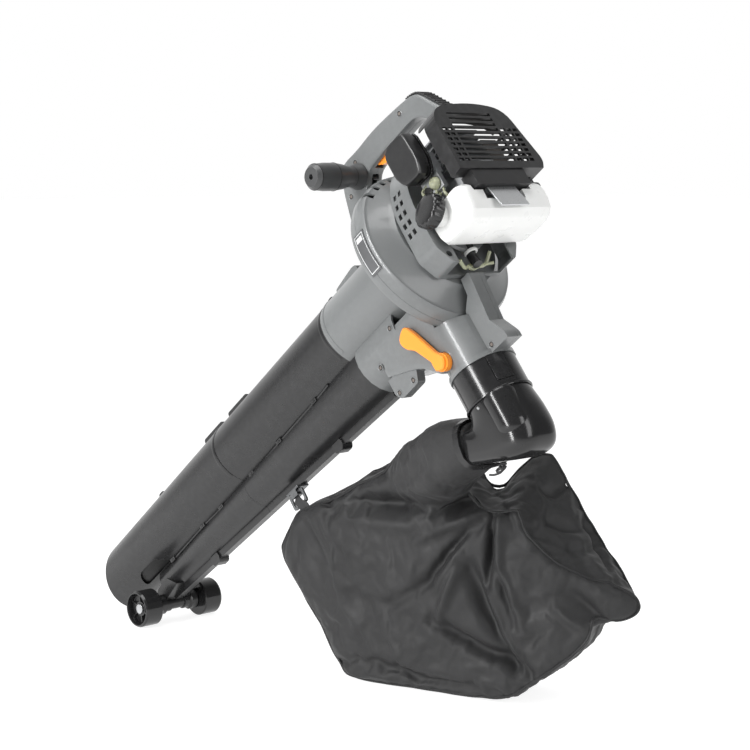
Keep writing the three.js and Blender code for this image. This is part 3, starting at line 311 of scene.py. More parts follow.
EXTRA = {
    "grip_gray": moulded("grip_gray", (0.05, 0.051, 0.052), 0.4, edge=1.5),
    # Near-black finish for painted shade: the floor discs of the screw wells and the strip inside the
    # tube's mouth.
    "shadow": moulded("painted_shade_black", (0.004, 0.004, 0.004), 0.5, grain_depth=0.01),
    "glossy_black": moulded("glossy_black", (0.014, 0.014, 0.0145), 0.16, grain_depth=0.006, edge=2.0),
    "dull_steel": metal_finish("dull_steel", (0.2, 0.205, 0.21), 0.42),
    "webbing": woven("strap_webbing", (0.02, 0.02, 0.021), 1.6, sheen=0.15, crumple=0.1),
    "piping": woven("bag_piping", (0.006, 0.006, 0.0065), 1.3, sheen=0.1, crumple=0.1),
    "pale_print": moulded("pale_print", (0.5, 0.51, 0.51), 0.4, grain_depth=0.01),
}


# ---------------------------------------------------------------- making pieces
def added(name, data):
    """A new object in the scene."""
    made = bpy.data.objects.new(name, data)
    bpy.context.scene.collection.objects.link(made)
    return made


def mark_wear(mesh):
    """Stores on each vertex how convex the edges round it are."""
    bm = bmesh.new()
    bm.from_mesh(mesh)
    values = []
    for vertex in bm.verts:
        angles = [e.calc_face_angle_signed(0.0) for e in vertex.link_edges if len(e.link_faces) == 2]
        sharpest = max(angles, default=0)
        values.append(min(1.0, max(0.0, (math.degrees(sharpest) - 12) / 20)))
    bm.free()
    attribute = mesh.attributes.new("wear", "FLOAT", "POINT")
    attribute.data.foreach_set("value", values)


def finished(
    name, bm, finish, matrix=MACHINE, bevel_mm=0.0, smooth_angle=40, weighted=True, body="machine",
):
    """Turns a bmesh into a piece: in place, with rounded edges and smooth faces, riding on a body."""
    bm.transform(matrix)
    bmesh.ops.recalc_face_normals(bm, faces=bm.faces)
    mesh = bpy.data.meshes.new(name)
    bm.to_mesh(mesh)
    bm.free()
    piece = added(name, mesh)
    if bevel_mm:
        bevel = piece.modifiers.new("edges", "BEVEL")
        bevel.width, bevel.segments = bevel_mm * MM, 2
        bevel.limit_method, bevel.angle_limit = "ANGLE", math.radians(28)
        bevel.miter_outer = "MITER_ARC"
    bake_modifiers(piece)
    mesh = piece.data
    mesh.polygons.foreach_set("use_smooth", [True] * len(mesh.polygons))
    mesh.set_sharp_from_angle(angle=math.radians(smooth_angle))
    if weighted:
        normals = piece.modifiers.new("normals", "WEIGHTED_NORMAL")
        normals.keep_sharp = True
        bake_modifiers(piece)
    mark_wear(piece.data)
    piece.data.materials.clear()
    piece.data.materials.append(finish)
    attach(piece, body)
    return piece


def bake_modifiers(piece):
    """Replaces a piece's mesh with its evaluated one."""
    if not piece.modifiers:
        return
    graph = bpy.context.evaluated_depsgraph_get()
    old = piece.data
    piece.data = bpy.data.meshes.new_from_object(piece.evaluated_get(graph))
    piece.modifiers.clear()
    bpy.data.meshes.remove(old)


def re_round(bm, centre, axis, corner, sides, cuts=3):
    """Cuts a many-sided round into finer facets and moves them out to the true round."""
    axis, corner = axis.normalized(), corner.normalized()
    side = axis.cross(corner)
    total = sides * (cuts + 1)
    for k in range(total // 2):
        if k % (cuts + 1):
            angle = 2 * math.pi * k / total
            across = side * math.cos(angle) - corner * math.sin(angle)
            everything = bm.verts[:] + bm.edges[:] + bm.faces[:]
            bmesh.ops.bisect_plane(bm, geom=everything, plane_co=centre, plane_no=across, dist=1e-7)
    step = 2 * math.pi / sides
    for vertex in bm.verts:
        offset = vertex.co - centre
        along = axis * offset.dot(axis)
        flat = offset - along
        angle = math.atan2(flat.dot(side), flat.dot(corner)) % step
        vertex.co = centre + along + flat * (math.cos(angle - step / 2) / math.cos(step / 2))


A_AXIS, Y_AXIS, U_AXIS = (TURN @ Vector(v) for v in ((1, 0, 0), (0, 1, 0), (0, 0, 1)))
CRANK_ROUND = (ORIGIN, A_AXIS, U_AXIS)
ROUNDS = {  # what re_round needs: a centre, the axis, the way to a corner, how many sides
    **{f"fan_housing_{end}": (*CRANK_ROUND, 30) for end in ("front", "rear")},
    **{f"vac_tube_{part}": (*CRANK_ROUND, 24)
       for part in ("upper_left", "upper_right", "lower_left", "lower_right")},
    "elbow_collar": (place(*NECK), U_AXIS, -Y_AXIS, 24),
    "wheel_left": (place(*WHEEL), Y_AXIS, U_AXIS, 20), "wheel_right": (place(*WHEEL), Y_AXIS, U_AXIS, 20),
    "side_grip": (place(*GRIP), Y_AXIS, U_AXIS, 28),
}
SOFT_EDGES = {  # rounding of each node's edges, in millimetres, where it isn't the usual
    "engine_mount": 1.2, "engine_shroud": 0.7, "fan_housing_front": 0.8, "fan_housing_rear": 0.8,
    "air_filter_cover": 0.8, "mode_lever": 1.0, "elbow": 1.2, "fuel_tank": 1.5, "heat_shield": 0.3,
    "rating_plate": 0.15, "handle_pad": 0.6, "cylinder": 0.3, "flywheel": 0.3, "crankshaft": 0.3,
}
USUAL_EDGE = 0.5
SPECIAL = {  # finishes that differ from their slot's usual one
    "elbow_collar": "glossy_black", "elbow_latch": "glossy_black", "wheel_left": "glossy_black",
    "wheel_right": "glossy_black", "side_grip": "grip_gray", "bag_hook": "dull_steel",
    "bag_ring": "dull_steel",
}
GRILLES = ("engine_shroud",)  # pierced so finely that its edges stay as they are


REBUILT = ("bag", "elbow", "fuel_cap")  # nodes that make_bag, make_elbow and make_fuel_cap stand for


def refine(node):
    """A finer piece that stands for a CAD node: clean faces, true rounds, rounded edges."""
    source = frame["nodes"][node]
    slot = source.data.materials[0].name.split(".")[0]
    bm = bmesh.new()
    bm.from_mesh(source.data)
    bmesh.ops.remove_doubles(bm, verts=bm.verts, dist=2e-6)
    if node not in GRILLES:
        bmesh.ops.dissolve_limit(bm, angle_limit=math.radians(0.4), verts=bm.verts, edges=bm.edges)
    if node in ROUNDS:
        re_round(bm, *ROUNDS[node])
    edge = 0.0 if node in GRILLES else SOFT_EDGES.get(node, USUAL_EDGE)
    finish = EXTRA[SPECIAL[node]] if node in SPECIAL else FINISHES[slot]
    crisp = 8 if node in GRILLES else 40
    piece = finished(f"{node}_fine", bm, finish, AS_IT_IS, edge, crisp, body=source["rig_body"])
    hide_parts(node)
    return piece


def turned(profile, steps=48, axis="y"):
    """A round turned from (radius, place along the axis) points, closed where the radius is zero."""
    bm = bmesh.new()
    rings = []
    for radius, along in profile:
        if radius < 1e-6:
            rings.append([bm.verts.new((0, along, 0))])
            continue
        angles = [2 * math.pi * i / steps for i in range(steps)]
        rings.append([bm.verts.new((radius * math.sin(t), along, radius * math.cos(t))) for t in angles])
    for low, high in zip(rings, rings[1:]):
        for i in range(steps):
            j, below, above = i + 1, len(low), len(high)
            loop = [low[i % below], low[j % below], high[j % above], high[i % above]]
            unique = list(dict.fromkeys(loop))
            if len(unique) > 2:
                bm.faces.new(unique)
    if axis == "a":
        bm.transform(Matrix.Rotation(-math.pi / 2, 4, "Z"))
    elif axis == "u":
        bm.transform(Matrix.Rotation(math.pi / 2, 4, "X"))
    return bm


def skin(bm, rings, ends=True):
    """Faces between rings of the same length and, unless the ends are open, across both of them."""
    count = len(rings[0])
    for low, high in zip(rings, rings[1:]):
        for i in range(count):
            j = (i + 1) % count
            bm.faces.new((low[i], low[j], high[j], high[i]))
    if ends:
        bm.faces.new(rings[0][::-1])
        bm.faces.new(rings[-1])
    return bm


def set_at(part, where, side=1):
    """Moves a part to its place; on side -1 it faces the other way first."""
    if side < 0:
        part.transform(Matrix.Rotation(math.pi, 4, "Z"))
    part.transform(Matrix.Translation(where))
    return part


def surface_of(mesh):
    """A mesh's surface, to look up its nearest points or cast rays at."""
    bm = bmesh.new()
    bm.from_mesh(mesh)
    tree = BVHTree.FromBMesh(bm)
    bm.free()
    return tree


def block(low, high):
    """A box between two corners, as a bmesh."""
    bm = bmesh.new()
    bmesh.ops.create_cube(bm, size=1)
    size = [h - l for l, h in zip(low, high)]
    middle = [(h + l) / 2 for l, h in zip(low, high)]
    bm.transform(Matrix.Translation(middle) @ Matrix.Diagonal((*size, 1)))
    return bm


def merged(parts):
    """Several bmeshes as one."""
    whole = bmesh.new()
    for part in parts:
        mesh = bpy.data.meshes.new("part")
        part.to_mesh(mesh)
        part.free()
        whole.from_mesh(mesh)
        bpy.data.meshes.remove(mesh)
    return whole


def catmull(points, t):
    """The point at t, from 0 to 1, on a smooth line through points."""
    last = len(points) - 1
    x = min(max(t, 0.0), 0.999999) * last
    i = int(x)
    p = [points[min(max(i + k, 0), last)] for k in (-1, 0, 1, 2)]
    x -= i
    return 0.5 * ((2 * p[1]) + (p[2] - p[0]) * x + (2 * p[0] - 5 * p[1] + 4 * p[2] - p[3]) * x * x
                  + (3 * p[1] - p[0] - 3 * p[2] + p[3]) * x ** 3)


def swept(points, section, steps=60, up=Vector((0, 0, 1)), closed=False):
    """A closed section, a list of (across, out) pairs, carried along a smooth line through points."""
    points = [Vector(p) for p in points]
    line = points if closed else [catmull(points, i / steps) for i in range(steps + 1)]
    bm = bmesh.new()
    rings = []
    count = len(line)
    for i, p in enumerate(line):
        ahead = line[(i + 1) % count] if closed else line[min(i + 1, count - 1)]
        behind = line[(i - 1) % count] if closed else line[max(i - 1, 0)]
        along = (ahead - behind).normalized()
        across = along.cross(up).normalized()
        out = across.cross(along)
        rings.append([bm.verts.new(p + across * x + out * z) for x, z in section])
    return skin(bm, rings + rings[:1] if closed else rings, not closed)


def round_section(radius, sides=12, flat=1.0):
    return [
        (radius * math.cos(2 * math.pi * i / sides), radius * flat * math.sin(2 * math.pi * i / sides))
        for i in range(sides)
    ]


# ---------------------------------------------------------------- machine details
SCREW_PLACES = [  # (a, y, u) of the screws in the left faces; the right faces have the same
    (98, 48, -63), (28, 48, -94), (148, 48, -96),
    (-76.5, 16, 178.8), (37.4, 16, 182.8), (74.7, 16, 150.2), (93, 16, 112),
]
LEFT_ONLY = [(108, 43, -144), (142, 43, -143), (-27, 20, -178)]  # on the junction's lug and on its strut


def screw_parts(radius=3.9):
    """A screw well with a raised lip, a near-black disc of painted shade on its floor, and a six-lobed
    screw deep in it, facing +y.
    """
    r = radius
    lip = turned([(r + 1.3, -0.4), (r + 1.1, 0.35), (r + 0.5, 0.55), (r, 0.3), (r, -0.4)], 40)
    # A flat near-black disc of painted shade stands for the dark depth of the hole.
    well = turned([(0, 0.12), (radius + 0.2, 0.16)], 40)
    lobes = 36
    head = bmesh.new()
    rings = []
    for share, y in ((0.62, 0.1), (0.6, 0.32), (0.5, 0.42)):
        rings.append([
            head.verts.new((radius * share * math.sin(2 * math.pi * i / lobes), y,
                            radius * share * math.cos(2 * math.pi * i / lobes)))
            for i in range(lobes)
        ])
    rings.append([
        head.verts.new((k * math.sin(2 * math.pi * i / lobes), 0.2, k * math.cos(2 * math.pi * i / lobes)))
        for i in range(lobes)
        for k in [radius * (0.26 + 0.06 * math.cos(12 * math.pi * i / lobes))]
    ])
    skin(head, rings, ends=False)
    head.faces.new(rings[-1])
    return lip, well, head


def make_screws():
    lips, wells, heads = [], [], []
    both = [(spot, side) for spot in SCREW_PLACES for side in (1, -1)] + [(spot, 1) for spot in LEFT_ONLY]
    for (a, y, u), side in both:
        for part, group in zip(screw_parts(), (lips, wells, heads)):
            group.append(set_at(part, (a, side * y, u), side))
    finished("screw_lips", merged(lips), FINISHES["gray_plastic"])
    # The well discs are painted shade: near-black where the screw holes are dark in their depth.
    finished("screw_well_shade", merged(wells), EXTRA["shadow"])
    finished("case_screws", merged(heads), FINISHES["exhaust_steel"])


def make_tube_details():
    """The closing line between the tube and the duct, and its clips."""
    rail = [
        (267, 36, -47), (310, 33, -48), (420, 30, -50), (514, 25, -51), (617, 23, -51), (679, 23, -50),
        (789, 20, -51),
    ]
    strip_section = [(-1.6, -1.4), (1.6, -1.4), (1.2, 1.2), (-1.2, 1.2)]
    strips, clips = [], []
    for side in (1, -1):
        line = [(a, side * (y + 2), u - 0.5) for a, y, u in rail]
        strips.append(swept(line, strip_section, 90, Vector((0, side, -0.3))))
        for a, y, u in rail[1:]:
            for part in (block((-7, -3, -3.2), (7, 3.4, 3.2)), block((-3, 3.2, -1.2), (3, 4.4, 1.2))):
                clips.append(set_at(part, (a, side * (y + 2), u)))
    finished("tube_closing_line", merged(strips), FINISHES["dark_plastic"], bevel_mm=0.3)
    finished("tube_clips", merged(clips), EXTRA["glossy_black"], bevel_mm=0.7)


def vac_radius(a):
    """The vacuum tube's outer radius at a place along it."""
    start, end, start_radius, end_radius = 206, 962, 59.6, 53.2
    return start_radius + (a - start) / (end - start) * (end_radius - start_radius)


def arc_bead(a, radius, width, height, start, stop, steps=96):
    """A low rounded bead round the tube between two angles from straight up, in degrees."""
    angles = [math.radians(start + (stop - start) * i / steps) for i in range(steps + 1)]
    section = [
        (-width / 2, -0.6), (-width / 2, height * 0.5), (-width / 4, height), (width / 4, height),
        (width / 2, height * 0.5), (width / 2, -0.6),
    ]
    bm = bmesh.new()
    return skin(bm, [
        [bm.verts.new((a + da, (radius + dr) * math.sin(angle), (radius + dr) * math.cos(angle)))
         for da, dr in section]
        for angle in angles
    ])


def make_beads():
    black = [arc_bead(a, vac_radius(a), w, h, -130, 130) for a, w, h in ((543, 7, 0.9), (212, 5, 0.7))]
    finished("tube_beads", merged(black), FINISHES["black_plastic"])
    gray = [arc_bead(200, 60.5, 6, 0.9, -125, 125)]
    finished("socket_bead", merged(gray), FINISHES["gray_plastic"])


def make_mouth_painted_shade():
    """A near-black strip inside the mouth, behind the bleed opening: painted shade that keeps the opening
    dark, for the looks; the machine has none.
    """
    start, sweep, steps = 96, 74, 24  # in degrees from straight up
    bm = bmesh.new()
    rings = []
    for i in range(steps + 1):
        angle = math.radians(start + sweep * i / steps)
        rings.append([
            bm.verts.new((a, r * math.sin(angle), r * math.cos(angle)))
            for a, r in ((782, 51.2), (900, 49.8), (900, 48.8), (782, 50.2))
        ])
    skin(bm, rings)
    finished("mouth_painted_shade", bm, EXTRA["shadow"])


def make_axle_sleeves():
    """The stepped sleeve round the axle, thickest beside the wheels."""
    profile = [(11, 13), (13.2, 13.6), (13.2, 24), (16.2, 26), (16.4, 37), (15, 38.4), (11, 38.6)]
    sleeves = [set_at(turned(profile), WHEEL, side) for side in (1, -1)]
    finished("axle_sleeves", merged(sleeves), FINISHES["black_plastic"])


def make_plate_border():
    """A raised pale border and a plain bar on the blank rating plate, bent round the rim."""
    parts = []
    a0, a1, low, high = -4.2, 14.2, -13.0, 15.0

    def patch(a_from, a_to, from_deg, to_deg, radius=RIM + 1.1, thick=0.25, steps=14):
        bm = bmesh.new()
        rows = []
        for i in range(steps + 1):
            angle = math.radians(from_deg + (to_deg - from_deg) * i / steps)
            rows.append([
                bm.verts.new((a, r * math.cos(angle), r * math.sin(angle)))
                for r in (radius, radius + thick) for a in (a_from, a_to)
            ])
        for low_row, high_row in zip(rows, rows[1:]):
            for i, j in ((0, 1), (1, 3), (3, 2), (2, 0)):
                bm.faces.new((low_row[i], low_row[j], high_row[j], high_row[i]))
        bm.faces.new([rows[0][i] for i in (0, 2, 3, 1)])
        bm.faces.new([rows[-1][i] for i in (0, 1, 3, 2)])
        return bm

    for start, stop in ((low, low + 0.5), (high - 0.5, high)):
        parts.append(patch(a0, a1, start, stop, steps=2))
    for start in (a0, a1 - 1):
        parts.append(patch(start, start + 1, low, high))
    parts.append(patch(a0 + 3, a1 - 3, high - 5.5, high - 2))
    finished("plate_border", merged(parts), EXTRA["pale_print"])


# Sections through the elbow: (a, u) of its front and back walls, half its width, and how square it is.
ELBOW_SECTIONS = [
    (69.5, -236.3, -22.5, -236.3, 46.0, 1.0), (70, -243, -23.5, -250, 45.9, 0.92),
    (71, -246, -24.5, -276, 45.7, 0.8), (72, -246.8, -20.5, -306, 45.6, 0.68),
    (73, -247, -5, -327, 45.5, 0.6), (75, -246.5, 22, -328, 45.4, 0.55),
    (77.5, -245.5, 58, -312, 45.3, 0.5), (80, -244, 96, -294, 45.2, 0.5),
]
PIPE_RADIUS = 26.0  # of the half-round pipe down the elbow's near side


def make_elbow():
    """The elbow in one sweep, the half-round pipe on its near side, the flange under its collar."""
    bm = bmesh.new()
    rings = []
    steps, sides = 56, 96
    for k in range(steps + 1):
        t = k / steps
        fa, fu, ba, bu, wide, square = (
            catmull([section[i] for section in ELBOW_SECTIONS], t) for i in range(6)
        )
        ring = []
        for i in range(sides):
            angle = 2 * math.pi * i / sides
            c, n = math.cos(angle), math.sin(angle)
            reach, side = (math.copysign(abs(v) ** square, v) for v in (c, n))
            ring.append(bm.verts.new((
                (fa + ba) / 2 + (fa - ba) / 2 * reach, wide * side, (fu + bu) / 2 + (fu - bu) / 2 * reach)))
        rings.append(ring)
    skin(bm, rings)
    body = finished("elbow_skin", bm, EXTRA["glossy_black"], smooth_angle=60)
    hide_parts("elbow")

    straight_end, dome = -286, 24
    profile = [(0, -238), (PIPE_RADIUS - 1.5, -238), (PIPE_RADIUS, -242), (PIPE_RADIUS, straight_end)]
    for i in range(1, 12):
        t = math.radians(7.5 * i)
        profile.append((PIPE_RADIUS * math.cos(t), straight_end - dome * math.sin(t)))
    profile.append((0, straight_end - dome))
    pipe = set_at(turned(profile, sides, "u"), (4.2, 20.2, 0))
    finished("elbow_pipe", pipe, EXTRA["glossy_black"], smooth_angle=60)
    profile = [(47.3, -238.6), (49.2, -238.2), (49.6, -237), (49.2, -235.6), (47.3, -235.2)]
    flange = set_at(turned(profile, sides, "u"), (NECK.x, 0, 0))
    screw = set_at(turned([(0, 1.4), (1.6, 1.3), (2.3, 0.6), (2.6, -0.6)], 28), (24.5, 45.8, -244))
    finished("elbow_flange", flange, EXTRA["glossy_black"])
    finished("elbow_screw", screw, FINISHES["steel"])


def make_mouth_tie():
    """The knotted cord under the elbow's mouth that draws the bag's collar tight."""
    base = Vector((-169, 34, -280))
    runs = [
        [(0, -6, 2), (2, 0, -2), (7, 4, -6), (3, 8, -9), (-3, 4, -6), (1, -2, -1)],
        [(0, 0, 0), (6, -4, -5), (14, -8, -8), (24, -12, -12)],
        [(0, 0, -1), (-2, 6, -8), (4, 12, -12), (12, 14, -13)],
        [(-2, -3, 2), (3, 1, 1), (2, 5, -3), (-3, 3, -5), (-3, -2, -1)],
    ]
    cords = []
    for run in runs:
        line = [(base + Vector(p)) * MM + ORIGIN for p in run]
        cords.append(swept(line, round_section(1.5 * MM, 10), 28, Vector((0.2, 0.1, 1))))
    finished("mouth_tie", merged(cords), EXTRA["webbing"], AS_IT_IS, weighted=False)


def make_fuel_cap():
    """The fuel cap: a domed disc with soft finger flutes round its edge."""
    steps, flutes, flute_depth = 120, 12, 1.3
    bm = bmesh.new()
    rings = []
    profile = [  # (radius, height, how deep the flutes are)
        (23.2, 8.4, 0.4), (24.6, 9.4, 1), (25, 12, 1), (25, 22, 1), (24.2, 24.6, 1), (22.4, 26.2, 0.5),
        (18, 27, 0), (12, 27.3, 0), (6, 27.4, 0),
    ]
    for radius, along, fluted in profile:
        ring = []
        for i in range(steps):
            angle = 2 * math.pi * i / steps
            r = radius - flute_depth * fluted * (0.5 - 0.5 * math.cos(flutes * angle)) ** 2
            ring.append(bm.verts.new((r * math.sin(angle), along, r * math.cos(angle))))
        rings.append(ring)
    skin(bm, rings)
    neck = turned([(10, 0), (12.4, 0.4), (12.4, 9), (10, 9)])
    whole = merged([bm, neck])
    whole.transform(Matrix.Translation(CAP) @ Matrix.Rotation(CAP_TURN, 4, "X"))
    piece = finished("fuel_cap_round", whole, EXTRA["glossy_black"], body="fuel_cap")
    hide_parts("fuel_cap")


def make_hoses():
    """Fuel hoses that show through the openings, and the tank's outlet with its collar."""
    runs = {
        "hose_low": (2.6, [
            (-60, 34, -62), (-52, 22, -69), (-50, 6, -64), (-54, -8, -69), (-52, -24, -62), (-60, -32, -50),
        ]),
        "hose_cross": (2.2, [(-56, 20, -70), (-49, 4, -70), (-52, -14, -66), (-62, -26, -70)]),
        "hose_primer": (2.0, [(-92, 58, 40), (-86, 66, 33), (-90, 68, 22), (-100, 64, 17), (-106, 61, 22)]),
    }
    for name, (radius, points) in runs.items():
        bm = swept(points, round_section(radius, 14), 50, Vector((0.3, 0.1, 1)))
        finished(name, bm, FINISHES["clear_plastic"], weighted=False)
    pipe = swept([(-58, 0, -36), (-56, 2, -52), (-60, 4, -70)], round_section(7, 20), 24, Vector((1, 0, 0)))
    finished("tank_outlet", pipe, FINISHES["dark_plastic"], weighted=False)
    profile = [(6.8, -2), (9.5, -2), (10, -1), (10, 1), (9.5, 2), (6.8, 2)]
    collar = set_at(turned(profile, 32, "u"), (-58, 2, -48))
    finished("outlet_collar", collar, FINISHES["white_tank"])


def make_pad_ribs():
    """Raised ribs across the rubber pad on the handle's rear."""
    pad = surface_of(frame["nodes"]["handle_pad"].data)
    line = [Vector((a, 0, u)) for a, u in (
        (-99, 191), (-109, 188), (-118, 181), (-127, 166), (-138, 147), (-146, 132))]
    across, count = (-11, -5.5, 0, 5.5, 11), 14
    ribs = []
    for i in range(count):
        p = catmull(line, (i + 0.5) / count)
        ahead = catmull(line, min(1.0, (i + 0.7) / count)) - p
        out = Vector((0, 1, 0)).cross(ahead).normalized()
        if out.z < 0:
            out = -out
        rib = []
        for y in across:
            hit = pad.ray_cast(place(*(p + Vector((0, y, 0)) + out * 12)), -(TURN @ out))[0]
            if hit:
                rib.append(hit)
        if len(rib) == len(across):
            ribs.append(swept(rib, round_section(1.4 * MM, 10), 12, TURN @ out))
    finished("pad_ribs", merged(ribs), FINISHES["rubber"], AS_IT_IS)


def make_grip_rings():
    """Shallow rings on the side grip and the lip of its end cap."""
    rings = []
    for y, r in ((31, 15.2), (67, 19.8), (101, 18.6)):
        profile = [(r - 1, y - 1.4), (r + 0.4, y - 1), (r + 0.7, y), (r + 0.4, y + 1), (r - 1, y + 1.4)]
        rings.append(set_at(turned(profile, 56), GRIP))
    finished("grip_rings", merged(rings), FINISHES["dark_plastic"])


def make_starter_rope():
    """The rope from inside the shroud to the pull handle."""
    low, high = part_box("starter_handle")
    near = Vector(((low.x + high.x) / 2, high.y - 0.002, (low.z + high.z) / 2))
    inner = near + Vector((0, 0.016, 0))
    bm = swept([inner.lerp(near, k / 4) for k in range(5)], round_section(1.6 * MM, 12), 40, UP)
    rope = finished("starter_rope", bm, EXTRA["webbing"], AS_IT_IS, weighted=False)
    rope.parent = None
    del rope["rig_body"]
    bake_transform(rope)


# ---------------------------------------------------------------- bag
# Edge loops of the bag's near and far panels: (s, c, h) for the near one, then for the far one.
BAG_EDGES = [
    ((-97, 50, 280), (-62, -50, 300)), ((-138, 54, 286), (-99, -55, 334)),
    ((-150, 55, 262), (-125, -58, 354)), ((-167, 54, 238), (-143, -60, 356)),
    ((-211, 50, 209), (-168, -60, 320)), ((-255, 38, 196), (-200, -60, 268)),
    ((-286, 22, 183), (-226, -55, 231)), ((-298, 8, 168), (-262, -38, 195)),
    ((-299, 2, 152), (-290, -14, 156)), ((-288, 8, 142), (-280, -16, 140)),
    ((-246, 36, 134), (-238, -44, 122)), ((-240, 44, 106), (-214, -50, 88)),
    ((-178, 50, 50), (-158, -55, 34)), ((-125, 54, 12), (-108, -58, 6)),
    ((-68, 55, 1.5), (-66, -60, 1.5)), ((0, 55, 1.5), (0, -60, 1.5)), ((68, 53, 1.5), (62, -60, 1.5)),
    ((122, 49, 1.5), (112, -55, 1.5)), ((148, 44, 12), (140, -45, 20)), ((184, 30, 62), (178, -35, 70)),
    ((222, 18, 106), (218, -28, 112)), ((260, 8, 152), (256, -14, 158)),
    ((280, 1, 179), (277, -6, 182)), ((260, 9, 212), (257, -12, 216)),
    ((238, 13, 240), (235, -15, 244)), ((206, 20, 256), (200, -22, 266)),
    ((168, 28, 276), (163, -30, 292)), ((128, 34, 298), (124, -34, 318)),
    ((80, 38, 318), (76, -40, 342)), ((34, 40, 326), (30, -44, 354)), ((-10, 42, 318), (-12, -46, 344)),
    ((-50, 46, 300), (-40, -48, 318)),
]
BAG_SEAMS = list(zip(*BAG_EDGES))  # the near panel's and the far panel's
BAG_HEART = Vector((-10, 0, 170))  # the middle that both panels close towards
BAG_BULGE = (66, -64)  # how far the middle of each panel stands off across the bag
BAG_VOXEL = 0.0065  # in metres
CLOTH_FRAMES = 16
CLOTH_REACH = 0.014  # in metres, how far the cloth run may move a point

# The bag's neck, from the elbow's mouth to inside the bag: centre in the row frame's directions from the
# crank axis (forward, left, up), half height, half width, tilt in degrees.
NECK_RINGS = [
    ((-108, 0, -257), 31, 48, 21), ((-90, 0, -263), 35, 50, 21), ((-58, -4, -274), 43, 52, 21),
    ((-20, -12, -292), 50, 53, 21), ((30, -24, -320), 57, 50, 22), ((92, -44, -362), 54, 40, 25),
]

# Creases of the near panel as the eye meets them: line in (s, h), width, depth; negative stands out.
CREASES = [
    ([(150, 266), (75, 272), (0, 284), (-61, 294)], 15, 30),
    ([(160, 250), (42, 250), (-61, 276)], 13, -9),
    ([(-67, 276), (-66, 225), (-62, 170)], 4.5, 20),
    ([(-78, 270), (-80, 220), (-76, 160)], 8, -9),
    ([(-32, 196), (-60, 140), (-104, 64)], 14, 20),
    ([(-22, 205), (-2, 160), (14, 112)], 8, -12),
    ([(-56, 172), (-84, 110), (-118, 50)], 6, -14),
    ([(-61, 270), (-14, 225), (36, 166)], 8, 15),
    ([(-46, 258), (-8, 206), (20, 158)], 6, -12),
    ([(-56, 279), (-10, 256), (50, 226)], 8, -9),
    ([(20, 110), (-40, 84), (-124, 52)], 12, 16),
    ([(97, 122), (60, 150), (25, 165)], 11, 5),
    ([(-184, 176), (-210, 158), (-238, 139)], 11, 12),
    ([(-170, 150), (-200, 132), (-232, 124)], 9, -7),
    ([(-87, 284), (-99, 262)], 6, 6),
    ([(246, 226), (228, 205), (206, 180)], 9, 9),
    ([(204, 240), (173, 264)], 8, 8),
    ([(84, 302), (66, 314), (48, 336)], 9, 4),
    ([(109, 33), (50, 20), (-25, 12)], 13, 9),
    ([(-71, 210), (-92, 160), (-104, 112)], 4.5, 9),
    ([(-80, 205), (-104, 158), (-122, 110)], 8, -5),
    ([(-130, 190), (-128, 130), (-132, 80)], 14, 5),
    ([(120, 200), (140, 140), (120, 80)], 22, 5),
    ([(60, 210), (76, 150), (60, 60)], 20, -4),
]
# Creases of the end panel, which faces away from the tube.
END_CREASES = [
    ([(-150, 312), (-175, 306), (-197, 318)], 8, 7), ([(-160, 270), (-185, 262), (-215, 258)], 9, 7),
    ([(-190, 232), (-215, 228), (-240, 238)], 8, 6), ([(-222, 272), (-240, 242), (-256, 209)], 5, 9),
    ([(-140, 330), (-152, 300), (-150, 272)], 8, -4), ([(-205, 245), (-225, 215), (-250, 196)], 8, -5),
]
VIEW_LEAN, VIEW_DROP = 0.535, -0.104  # how far a point across the bag is seen shifted along and up


def rounded_loop(points, per=4):
    """A closed smooth line through a loop of points."""
    points = [Vector(p) for p in points]
    count = len(points)
    line = []
    for i in range(count):
        p0, p1, p2, p3 = (points[(i + k) % count] for k in (-1, 0, 1, 2))
        for j in range(per):
            x = j / per
            line.append(0.5 * (2 * p1 + (p2 - p0) * x + (2 * p0 - 5 * p1 + 4 * p2 - p3) * x * x
                               + (3 * p1 - p0 - 3 * p2 + p3) * x ** 3))
    return line


def bag_pillow():
    """The closed body of the bag: two crowned panels and the wall between their edges."""
    bm = bmesh.new()
    near, far = (rounded_loop(seam) for seam in BAG_SEAMS)
    count = len(near)
    shares = [0.12, 0.3, 0.48, 0.65, 0.8, 0.9, 0.96, 1.0]

    def panel(loop, bulge):
        made = []
        for share in shares:
            ring = []
            for p in loop:
                q = BAG_HEART.lerp(p, share)
                crown = math.sqrt(max(0.0, 1 - share ** 2.6))
                q.y = p.y * (1 - crown) + bulge * crown
                ring.append(bm.verts.new(q))
            made.append(ring)
        return made

    near_rings, far_rings = panel(near, BAG_BULGE[0]), panel(far, BAG_BULGE[1])
    walls = [[bm.verts.new(n.lerp(f, k)) for n, f in zip(near, far)] for k in (0.25, 0.5, 0.75)]
    rings = near_rings + walls + far_rings[::-1]
    skin(bm, rings, ends=False)
    for ring, bulge, order in ((rings[0], BAG_BULGE[0], -1), (rings[-1], BAG_BULGE[1], 1)):
        middle = bm.verts.new((BAG_HEART.x, bulge, BAG_HEART.z))
        for i in range(count):
            bm.faces.new((ring[i], ring[(i + 1) % count], middle)[::order])
    bm.transform(BAG)
    return bm


def bag_neck():
    """The sleeve from the elbow's mouth into the bag."""
    sides, square = 32, 0.75
    bm = bmesh.new()
    rings = []
    for (x, y, z), high, wide, degrees in NECK_RINGS:
        tilt = math.radians(degrees)
        ring = []
        for i in range(sides):
            angle = 2 * math.pi * i / sides
            c, s = math.cos(angle), math.sin(angle)
            up = high * math.copysign(abs(c) ** square, c)
            side = wide * math.copysign(abs(s) ** square, s)
            local = Vector((x + up * math.sin(tilt), y + side, z + up * math.cos(tilt)))
            ring.append(bm.verts.new(ORIGIN + local * MM))
        rings.append(ring)
    return skin(bm, rings)


